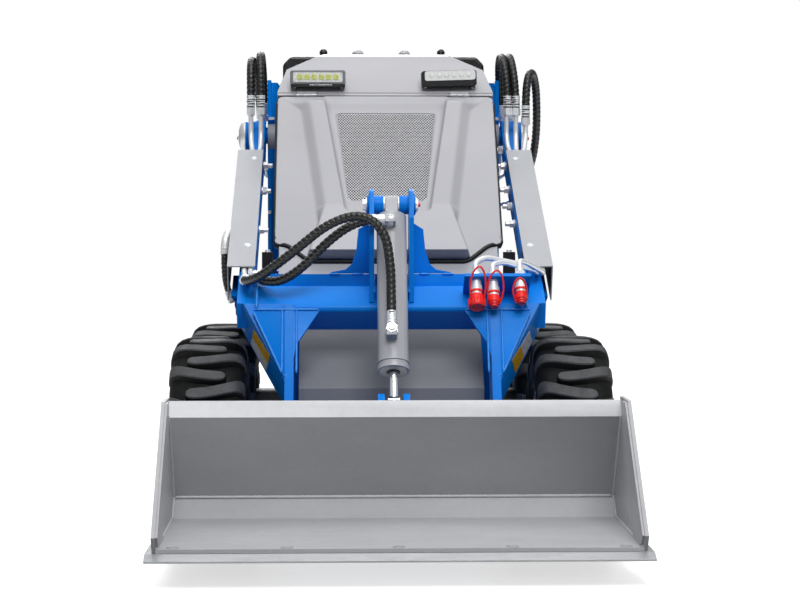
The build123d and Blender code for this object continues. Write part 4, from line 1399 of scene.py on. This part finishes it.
# ------------------------------------------------------------------ tilt cylinder pins, washers, gland
p = Piece(ZINC_AND_REFLECTION, RED, BLUE, NUT_AND_REFLECTION)
for sg in (-1, 1):
    p.use(0).lathe((sg * 15.1, *TILT_TOP), (sg, 0, 0), [(0, 19.4), (0.5, 20), (3.0, 20), (3.5, 19.4)], 32)
    p.use(2).lathe((sg * 19.2, *TILT_TOP), (sg, 0, 0), [(0, 22.2), (0.2, 22.8), (3.2, 22.8), (4.0, 21.9)], 32)
p.use(0).lathe((57, *TILT_TOP), (1, 0, 0), [(0, 17.4), (0.6, 18), (2.8, 18), (3.4, 17.2)], 32)
p.use(3).lathe((60, *TILT_TOP), (1, 0, 0), [(0, 13.4), (2.6, 13.4), (3.4, 12.4)], 28)
p.use(1).lathe((63, *TILT_TOP), (1, 0, 0), [(0, 5.2), (3.2, 5.2), (5.4, 3.8), (6.2, 1.6)], 18)
p.use(0).lathe((-57, *TILT_TOP), (-1, 0, 0), [(0, 17.4), (0.6, 18), (2.8, 18), (3.4, 17.2)], 32)
p.use(3).hexagon((-60, *TILT_TOP), (-1, 0, 0), 24, 8, 0.2)
p.make("tilt_pin_washers", "lift_arms", smooth=34)

p = Piece(BARREL_GREY, STEEL, SEAL)
for s0 in (404, 411):
    q = along(TILT_TOP, W, s0)
    p.use(0).lathe((0, *q), (0, *W), [(0, 36.4), (0.8, 37.4), (3.2, 37.4), (4.0, 36.4)], 48)
q = along(TILT_TOP, W, 424.4)
p.use(1).lathe((0, *q), (0, *W), [(0, 33), (1.6, 32.4), (2.2, 20), (2.2, 13.4)], 48)
p.use(2).lathe((0, *along(TILT_TOP, W, 426)), (0, *W), [(0, 16.5), (2.6, 15.2), (3.2, 12.0)], 32)
p.use(0).lathe((0, *along(TILT_TOP, W, 31)), (0, *W), [(0, 24), (3, 29), (6, 33.5), (8, 34.9)], 48)
p.make("tilt_gland", "tilt_barrel", smooth=34)

# ------------------------------------------------------------------ pivots, grease caps, washers at the arms' ends
p = Piece(COVER_GREY, RED, NUT_AND_REFLECTION, ZINC_AND_REFLECTION)
for sg in (-1, 1):
    d = (sg, 0, 0)
    p.use(3).lathe((sg * 378, *ARM_PIVOT), d, [(0, 43.6), (0.8, 44.2), (3.6, 44.2), (8, 42.0), (13, 36.5), (17, 28), (19.6, 18), (20.4, 9), (20.6, 0)], 44)
    p.use(2).lathe((sg * 397.6, *ARM_PIVOT), d, [(0, 9), (1.5, 9), (2.2, 8.2)], 24)
    p.use(1).lathe((sg * 398.6, ARM_PIVOT[0], ARM_PIVOT[1] - 4), d, [(0, 5.0), (2, 5.0), (4, 3.8), (4.6, 1.8)], 18)
    # welded boss on the tower's inner side
    p.use(0).lathe((sg * 297, *ARM_PIVOT), d, [(0, 39.4), (1.2, 41.6), (18, 41.6), (20, 41.0)], 44)
    p.use(2).block(*sorted((sg * 299, sg * 315)), 541, 556, 1013, 1020)
    p.use(3).bolt((sg * 313, 556.0, 760), (0, -1, 0), 5)
    p.use(0).lathe((sg * 382, *LIFT_LOW), d, [(0, 17), (0.6, 17.6), (2.6, 17.6), (3.2, 16.8)], 32)
    p.use(1).lathe((sg * 385, *LIFT_LOW), d, [(0, 4.4), (3, 4.4), (5.6, 3.2), (6.4, 1.4)], 16)
p.make("pivot_caps", "chassis", smooth=34)

# ------------------------------------------------------------------ arms: cover screws, bolts through the arms, stop blocks
p = Piece(ZINC_AND_REFLECTION, STEEL, SEAL)
UP_ARM = (0, U[1], -U[0])
for sg in (-1, 1):
    for y in (374, -48):
        p.use(0).lathe(arm_point(sg * 345, y, -49), UP_ARM, [(0, 8.0), (0.9, 8.0), (1.3, 7.4)], 24)
        p.use(0).lathe(Vector(arm_point(sg * 345, y, -49)) + Vector(UP_ARM) * 1.2, UP_ARM, [(0, 5.8), (1.6, 5.4), (2.6, 3.8), (2.8, 2.2), (1.4, 2.0)], 20)
ROWS = {-1: (166, 191, 230), 1: (150, 166, 190, 206.5, 224)}
for sg, ys in ROWS.items():
    for yp in ys:
        k = (yp - 218) / 2000
        # centreline of the arm where the picture's line crosses it
        y = (744.5 - 4953 * k - 660.3) / (0.5305 + k)
        c = Vector(arm_point(sg * 324, y, 0))
        d = (-sg, 0, 0)
        p.use(0).lathe(c, d, [(0, 12), (2.0, 12), (2.4, 11.2)], 24)
        p.hexagon(c + Vector(d) * 2.4, d, 18, 10, 0.15 * yp, 1.2)
        p.lathe(c + Vector(d) * 12, d, [(0, 6.2), (11, 6.2), (12.2, 5.2)], 18)
p.make("arm_fasteners", "lift_arms", smooth=34)

p = Piece(SEAL, BLUE, ZINC_AND_REFLECTION)
for sg in (-1, 1):
    p.use(1).block(*sorted((sg * 254.5, sg * 312)), 2, 26, 594, 604)
    p.use(0).block(*sorted((sg * 286, sg * 313)), -16, 30, 604, 660)
    p.use(2).bolt((sg * 299.5, 7, 660), (0, 0, 1), 7)
p.make("arm_stop_blocks", "chassis", bevel=2.2, segments=3, smooth=40)

# ------------------------------------------------------------------ couplers
CO3 = Vector((0, -0.55, -0.8352))
p = Piece(ZINC_AND_REFLECTION, RED, NUT_AND_REFLECTION, STEEL)
for k, (cx, cy, cz) in enumerate(((196, -332, 557), (236, -332, 554), (299, -332, 562))):
    o = Vector((cx, cy, cz))
    d = CO3
    p.use(0).lathe(o + d * -75, d, [(0, 8), (1, 9.5), (9, 9.5), (10, 9)], 24)
    p.use(2).hexagon(o + d * -66, d, 22.5, 15, 0.3 * k)
    p.use(0).lathe(o + d * -51, d, [(0, 9.5), (3, 9.5), (3.6, 11.6), (17, 11.6), (17.8, 13.6), (24, 13.8), (24.6, 13.2), (26.5, 13.2),
                                    (27, 14), (31, 14), (31.8, 12.6), (36, 12.4), (46, 12.4), (50, 11.8)], 32)
    p.use(1).lathe(o + d * -21, d, [(0, 14.4), (0.8, 15.2), (4.6, 15.2), (5.4, 14.4)], 32)
    if k == 0:
        p.use(1).lathe(o + d * -10, d, [(0, 14.2), (1.2, 15.6), (9, 15.8), (10, 19.2), (11, 19.8), (30, 19.8), (32.6, 18.4), (33.2, 17.6),
                                        (33.2, 15.8), (32.2, 15.0), (32.2, 0)], 44)
        for j in range(20):
            a, b, _ = frame_of(d)
            t = TAU * j / 20
            c = o + (a * math.cos(t) + b * math.sin(t)) * 19.6
            p.rod(c + d * 2, c + d * 18, 1.3, 8, 0.3)
    else:
        p.use(1).lathe(o + d * -10, d, [(0, 13.6), (1.2, 14.8), (17, 15.0), (18.5, 14.0), (19.5, 11.8), (22.5, 11.6), (23.4, 10.8), (24, 9.2),
                                        (27.6, 9.0), (28.4, 8.2), (28.4, 6.2), (27.4, 5.6), (27.4, 0)], 40)
p.make("coupler_bodies", "lift_arms", smooth=34, replaces=("hydraulic_couplers",))

# red straps between each cap and its neck
p = Piece(RED)
STRAPS = (((196, -332, 557), ((-15, -16, 4), (-17, -20, 34), (-10, -24, 62), (4, -26, 76), (15, -26, 62), (19, -22, 30), (14, -14, -6))),
          ((236, -332, 554), ((-15, -16, 4), (-16, -20, 34), (-8, -24, 60), (6, -26, 70), (17, -24, 54), (20, -20, 24), (13, -12, -6))),
          ((299, -332, 562), ((12, -14, 12), (6, -22, 34), (-6, -25, 44), (-17, -24, 34), (-21, -20, 12), (-13, -12, -12))))
for c, pts in STRAPS:
    o = Vector(c)
    ring = [o + Vector(q) for q in pts]
    path = []
    q = [ring[0]] + ring + [ring[-1]]
    for i in range(1, len(q) - 2):
        for t in (0, .2, .4, .6, .8):
            a, b, c2, d2 = q[i - 1], q[i], q[i + 1], q[i + 2]
            path.append(0.5 * ((2 * b) + (c2 - a) * t + (2 * a - 5 * b + 4 * c2 - d2) * t * t + (3 * b - a - 3 * c2 + d2) * t ** 3))
    path.append(ring[-1])
    p.tube(path, 2.3, 10)
p.make("coupler_straps", "lift_arms", smooth=60)

# ------------------------------------------------------------------ weld beads


def bead(p, pts, r=3.4, step=2.6):
    """Rippled weld bead along straight runs."""
    line = [Vector(q) for q in pts]
    out = []
    for a, b in zip(line, line[1:]):
        n = max(2, int((b - a).length / step))
        for i in range(n):
            out.append(a.lerp(b, i / n))
    out.append(line[-1])
    last = len(out) - 1

    def rr(t, i):
        k = r * (1 + 0.10 * math.sin(i * 1.9) + 0.05 * math.sin(i * 0.7 + 1))
        return k * min(1.0, 0.35 + 0.35 * min(i, last - i))
    p.tube(out, rr, 9)


fu = unit2((-302, 560), (-474, 190))
N_G = (fu[1], -fu[0])            # the gusset's normal in the side view


def gusset_point(x, v, n=0.0):
    """On the gusset's front: v mm down the leg from its top, n out of it."""
    down = (fu[0], fu[1])
    return (x, -300 + down[0] * v + N_G[0] * n, 560 + down[1] * v + N_G[1] * n)


# beads round the legs' plates, gussets and the cross tube
p = Piece(WELD_BLUE)
for sg in (-1, 1):
    for x in (221, 254.5):
        bead(p, [gusset_point(sg * x, 30, 0.8), gusset_point(sg * x, 188, 0.8)], 2.7)
    bead(p, [gusset_point(sg * 321.5, 36, 0.6), gusset_point(sg * 254, 188, 0.6)], 2.7)
    bead(p, [gusset_point(sg * 170, 31, 1.2), gusset_point(sg * 321, 31, 1.2)], 2.7)
    bead(p, [gusset_point(sg * 238, 195, -1), gusset_point(sg * 252, 192, -1)], 3.4)
    bead(p, [(sg * 66, -222.5, 612), (sg * 92, -222.5, 612)], 2.6)
    bead(p, [(sg * 120, -222.5, 612), (sg * 148, -222.5, 612)], 2.6)
    bead(p, [(sg * 40.5, -290, 571), (sg * 40.5, -262, 598), (sg * 40.5, -240, 612)], 2.6)
    bead(p, [(sg * 314, -262, 606), (sg * 314, -298, 566), (sg * 314, -318, 536)], 2.8)
p.make("leg_weld_beads", "lift_arms", smooth=60)

# blank adhesive plates on the legs' outer faces
RIGHT_PLATE = [(321.6, -298.8, 480.7), (331.7, -255.8, 454.6), (287.9, -298.1, 382.4), (276.3, -349.9, 415.4)]
LEFT_PLATE = [(-320.7, -303.5, 484.4), (-282.4, -345.0, 426.7), (-293.7, -289.2, 387.8), (-329.9, -256.3, 450.0)]
p = Piece(WHITE_PLATE, YELLOW_PLATE)
for sg, quad, halves in ((1, RIGHT_PLATE, ((0, 1), (1, 0))), (-1, LEFT_PLATE, ((1, 0), (0, 1)))):
    a, b, c, d = [Vector(q) for q in quad]
    n = Vector((0.871 * sg, -0.387, -0.301)).normalized()
    m1, m2 = (b + c) / 2, (a + d) / 2
    for which, ring in ((halves[0][0], (a, b, m1, m2)), (halves[1][0], (m2, m1, c, d))):
        p.use(which).prism([q + n * 0.1 for q in ring], n * 0.9)
p.make("leg_plates", "lift_arms", bevel=0.2, segments=1)

# bucket: bead along the bend, beads at the cheeks, doublers, plough bolts
p = Piece(WELD_GREY)
bead(p, [(-489, -502.5, 122.5), (489, -502.5, 122.5)], 3.4, 4.0)
inner = [(-945, 79), (-549, 81), (-500, 121), (-618, 312)]
for sg in (-1, 1):
    bead(p, [(sg * 491.5, a, b + 1.5) for a, b in inner], 2.8, 4.0)
p.make("bucket_weld_beads", "bucket", smooth=60)

p = Piece(BUCKET, EDGE, STEEL)
for sg in (-1, 1):
    p.use(0).prism([(sg * 493, a, b) for a, b in ((-938, 82), (-957, 104), (-702, 350), (-667, 350), (-658, 311), (-830, 82))],
                   (-sg * 5.0, 0, 0))
for x in (-460, -229, -3, 228, 459):
    p.use(1).lathe((x, -932, 79.0), (0, 0, 1), [(0, 13), (0.8, 13), (1.6, 12.2), (2.2, 9.5), (1.4, 8.8), (1.4, 0)], 28)
    p.use(2).hexagon((x, -905, 55.0), (0, 0, -1), 17, 7, 0.2)
p.make("bucket_bolts", "bucket", bevel=0.6, smooth=36)


# ------------------------------------------------------------------ console, panels, step: what shows from behind and beside
p = Piece(DOME_GREY, BLACK_PLASTIC, ZINC_AND_REFLECTION)
for cx in (-70, 58):
    prof = [(0, 15.5), (2, 15.8), (4, 15.0), (7, 13.4), (10, 10.2), (12, 6.4), (13.2, 2.2), (13.4, 0)]
    p.use(0).lathe((cx, 588, 1195), (0, 0, 1), prof, 32)
for cx in (-165, 160):                       # rubber boots under the two levers
    base = Vector((cx, 628, 1163))
    d = (Vector((cx, 608, 1199)) - Vector((cx, 628, 1165))).normalized()
    p.use(1).lathe(base, d, [(0, 24), (3, 24), (5, 20), (8, 21), (11, 16), (14, 17), (17, 12), (20, 12.6), (23, 8.6), (26, 6.2)], 30)
p.make("lever_boots", "chassis", smooth=50)

# console face slopes from (600, 1190) down to (700, 1125)
CF = unit2((600, 1190), (700, 1125))
CN = (-CF[1], CF[0])


def console_point(x, s, n=0.0):
    return (x, 600 + CF[0] * s + CN[0] * n, 1190 + CF[1] * s + CN[1] * n)


CN3 = Vector((0, *CN))
if CN3.z < 0:
    CN3 = -CN3
    CN = (-CN[0], -CN[1])
p = Piece(BLACK_PLASTIC, DOME_GREY, CHROME, WHITE_LENS, RED)
p.use(0).prism([console_point(x, q, 0.2) for x, q in rounded(0, 62, 190, 78, 10)], CN3 * 3)
for cx, r in ((-52, 27), (52, 27)):
    o = console_point(cx, 62, 3)
    p.use(2).lathe(o, CN3, [(0, r), (3, r), (4.5, r - 1.5), (4.5, r - 4), (2.6, r - 5)], 44)
    p.use(1).lathe(o, CN3, [(0, r - 4), (2.2, r - 4.2), (2.3, 0)], 44)
    for k in range(11):
        a = math.radians(-120 + 24 * k)
        q = Vector(console_point(cx + math.sin(a) * (r - 7), 62 - math.cos(a) * (r - 7), 5.2))
        q2 = Vector(console_point(cx + math.sin(a) * (r - 11), 62 - math.cos(a) * (r - 11), 5.2))
        p.use(0).rod(q, q2, 0.7, 8, 0.2)
    a = math.radians(-70 if cx < 0 else 35)
    p.use(4).rod(console_point(cx, 62, 6), console_point(cx + math.sin(a) * (r - 9), 62 - math.cos(a) * (r - 9), 6), 0.9, 8, 0.2)
    p.use(0).lathe(console_point(cx, 62, 4.5), CN3, [(0, 3.4), (2.4, 3.4), (3.2, 2.4)], 20)
p.use(2).lathe(console_point(-112, 62, 0), CN3, [(0, 12), (4, 12), (5, 10.8), (5, 4)], 32)
p.use(0).prism([console_point(x, q, 4) for x, q in rounded(-112, 62, 5, 17, 2)], CN3 * 14)
for k, cx in enumerate((112, 140)):
    p.use(0).lathe(console_point(cx, 62, 0), CN3, [(0, 11), (3, 11), (4, 10), (4, 7.6)], 28)
    p.use(4 if k else 1).lathe(console_point(cx, 62, 2), CN3, [(0, 7.4), (5, 7.4), (6.4, 6.2), (6.8, 0)], 28)
p.make("console_instruments", "chassis", bevel=0.35, segments=1, smooth=40)

p = Piece(SEAL, GREY, ZINC_AND_REFLECTION, BLACK_PLASTIC)
for sg in (-1, 1):
    for k in range(9):                         # raised louvres low on the rear half of each side
        z = 690 + 26 * k
        x = sg * 270
        v = [(x, 470, z), (x, 640, z), (x, 640, z + 15), (x, 470, z + 15), (x + sg * 7, 474, z + 1), (x + sg * 7, 636, z + 1)]
        p.use(1).add(v, [(0, 1, 5, 4), (4, 5, 2, 3), (0, 4, 3), (1, 2, 5), (0, 3, 2, 1)])
        # black strip in the slot under each louvre: painted shade
        p.use(0).block(*sorted((x + sg * 0.4, x + sg * 6.4)), 476, 634, z - 0.4, z + 0.9)
    for y in (410, 662):
        p.use(3).prism([(sg * 270, a, b) for a, b in rounded(y, 960, 26, 60, 6)], (sg * 4, 0, 0))
        p.use(2).prism([(sg * 273.5, a, b) for a, b in rounded(y, 966, 15, 34, 5)], (sg * 4.5, 0, 0))
        p.lathe((sg * 274, y, 940), (sg, 0, 0), [(0, 5), (2.5, 5), (3.2, 4.2)], 20)
    for y, z in ((30, 640), (240, 625), (450, 625), (680, 625), (300, 1000), (440, 1010), (560, 1010), (680, 1010)):
        if y == 30 or y >= 240:
            p.use(2).lathe((sg * 270, y, z), (sg, 0, 0), [(0, 9.5), (1.4, 9.5), (1.8, 8.6)], 22)
            p.hexagon((sg * 271.6, y, z), (sg, 0, 0), 11, 4.4, 0.2 * z, 0.6)
    for y, z in ((60, 250), (250, 250), (560, 250), (60, 520), (640, 520), (250, 560)):
        p.use(2).bolt((sg * 255, y, z), (sg, 0, 0), 8, turn=0.1 * z)
p.make("side_panel_fittings", "chassis", smooth=36)

p = Piece(GREY, SEAL, ZINC_AND_REFLECTION, BLACK_PLASTIC, CHROME)
for k in range(11):                            # rear panel: louvres, latch, screws, filler cap
    z = 520 + 28 * k
    v = [(-150, 712, z), (150, 712, z), (150, 712, z + 17), (-150, 712, z + 17), (-146, 719.5, z + 1), (146, 719.5, z + 1)]
    p.use(0).add(v, [(0, 1, 5, 4), (4, 5, 2, 3), (0, 4, 3), (1, 2, 5), (0, 3, 2, 1)])
    # black strip in the slot under each louvre: painted shade
    p.use(1).block(-144, 144, 712.4, 718.6, z - 0.4, z + 0.9)
for x in (-226, 226):
    for z in (372, 520, 690, 850, 1006):
        p.use(2).lathe((x, 712, z), (0, 1, 0), [(0, 9.5), (1.4, 9.5), (1.8, 8.6)], 22)
        p.hexagon((x, 713.6, z), (0, 1, 0), 11, 4.4, 0.01 * z, 0.6)
p.use(3).prism([(a, 712, b) for a, b in rounded(0, 905, 70, 34, 8)], (0, 4, 0))
p.use(4).prism([(a, 715, b) for a, b in rounded(6, 905, 36, 18, 6)], (0, 7, 0))
p.use(3).lathe((-150, 712, 440), (0, 1, 0), [(0, 33), (3, 33), (4, 30), (18, 30), (21, 27), (21.6, 0)], 48)
for k in range(16):
    a = TAU * k / 16
    p.rod((-150 + 30 * math.cos(a), 717, 440 + 30 * math.sin(a)), (-150 + 30 * math.cos(a), 731, 440 + 30 * math.sin(a)), 2.6, 10, 0.4)
p.use(2)
for x in (-60, 60):
    p.lathe((x, 712, 430), (0, 1, 0), [(0, 15), (4, 15), (5, 13), (5, 9), (26, 9), (27, 8)], 28)
    p.hexagon((x, 716, 430), (0, 1, 0), 27, 9, 0.2)
for x in (-205, 205):                          # flanges of the grab bar
    p.use(3).lathe((x, 712, 985), (0, 1, 0), [(0, 21), (3, 21), (4, 19.5), (4.4, 12), (8, 11.6)], 36)
p.make("rear_panel_fittings", "chassis", smooth=36)

p = Piece(SEAL)
grip = []
for i in range(41):
    x = -150 + 300 * i / 40
    grip.append((x, 770, 985))
p.tube(grip, lambda t, i: 14.6 if i % 2 else 13.4, 22)
p.make("grab_bar_grip", "chassis", smooth=30)

p = Piece(STEP, ZINC_AND_REFLECTION)
for i in range(13):                            # raised tread bars, turned one way and the other
    for j in range(6):
        cx, cy = -198 + 33 * i, 790 + 32 * j
        a = math.radians(45 if (i + j) % 2 else -45)
        dx, dy = math.cos(a), math.sin(a)
        ring0, ring1 = [], []
        for u, w in ((-11, 0), (-6, 2.6), (6, 2.6), (11, 0), (6, -2.6), (-6, -2.6)):
            ring0.append((cx + dx * u - dy * w, cy + dy * u + dx * w, 213))
            ring1.append((cx + (dx * u - dy * w) * 0.62, cy + (dy * u + dx * w) * 0.62, 215.2))
        p.use(0).rings([ring0, ring1])
for x in (-180, 180):
    p.use(1).bolt((x, 771, 226), (0, 1, 0), 8)
p.make("platform_tread", "chassis", smooth=30)

# lift cylinders: gland rings, ports and washers
LW = unit2(LIFT_LOW, (-57.8, 527.8))
for sname, sg in (("left", -1), ("right", 1)):
    p = Piece(BARREL_GREY, STEEL, ZINC_AND_REFLECTION, SEAL)
    p.use(3).lathe((sg * 352, *along(LIFT_LOW, LW, 578)), (0, *LW), [(0, 21), (1.4, 20), (2.2, 15.4)], 32)
    for s0 in (70, 548):
        q = Vector((sg * 352, *along(LIFT_LOW, LW, s0)))
        down = Vector((0, LW[1], -LW[0])) if Vector((0, LW[1], -LW[0])).z < 0 else Vector((0, -LW[1], LW[0]))
        p.use(0).lathe(q + down * 26, down, [(0, 13), (9, 13), (10, 12)], 28)
        p.use(2).hexagon(q + down * 36, down, 22, 12, 0.3)
        p.lathe(q + down * 48, down, [(0, 9.2), (3, 9.2), (4, 8)], 22)
    p.make(f"{sname}_lift_barrel_fittings", f"{sname}_lift_barrel", smooth=34)

# underside: drain plugs and bolts through the floor plate, motor mounting bolts
p = Piece(ZINC_AND_REFLECTION, BLACK_PAINT)
for x, y in ((-150, 60), (150, 60), (-150, 560), (150, 560), (0, 300), (-120, -160), (120, -160)):
    p.use(0).bolt((x, y, 150), (0, 0, -1), 10)
for sg in (-1, 1):
    for y in (-140, 446):
        x = 255 if y > 0 else 213
        for k in range(4):
            a = TAU * (k + 0.5) / 4
            p.use(0).bolt((sg * x, y + 74 * math.cos(a), 230 + 74 * math.sin(a)), (sg, 0, 0), 9, turn=a)
p.make("chassis_bolts", "chassis", smooth=34)
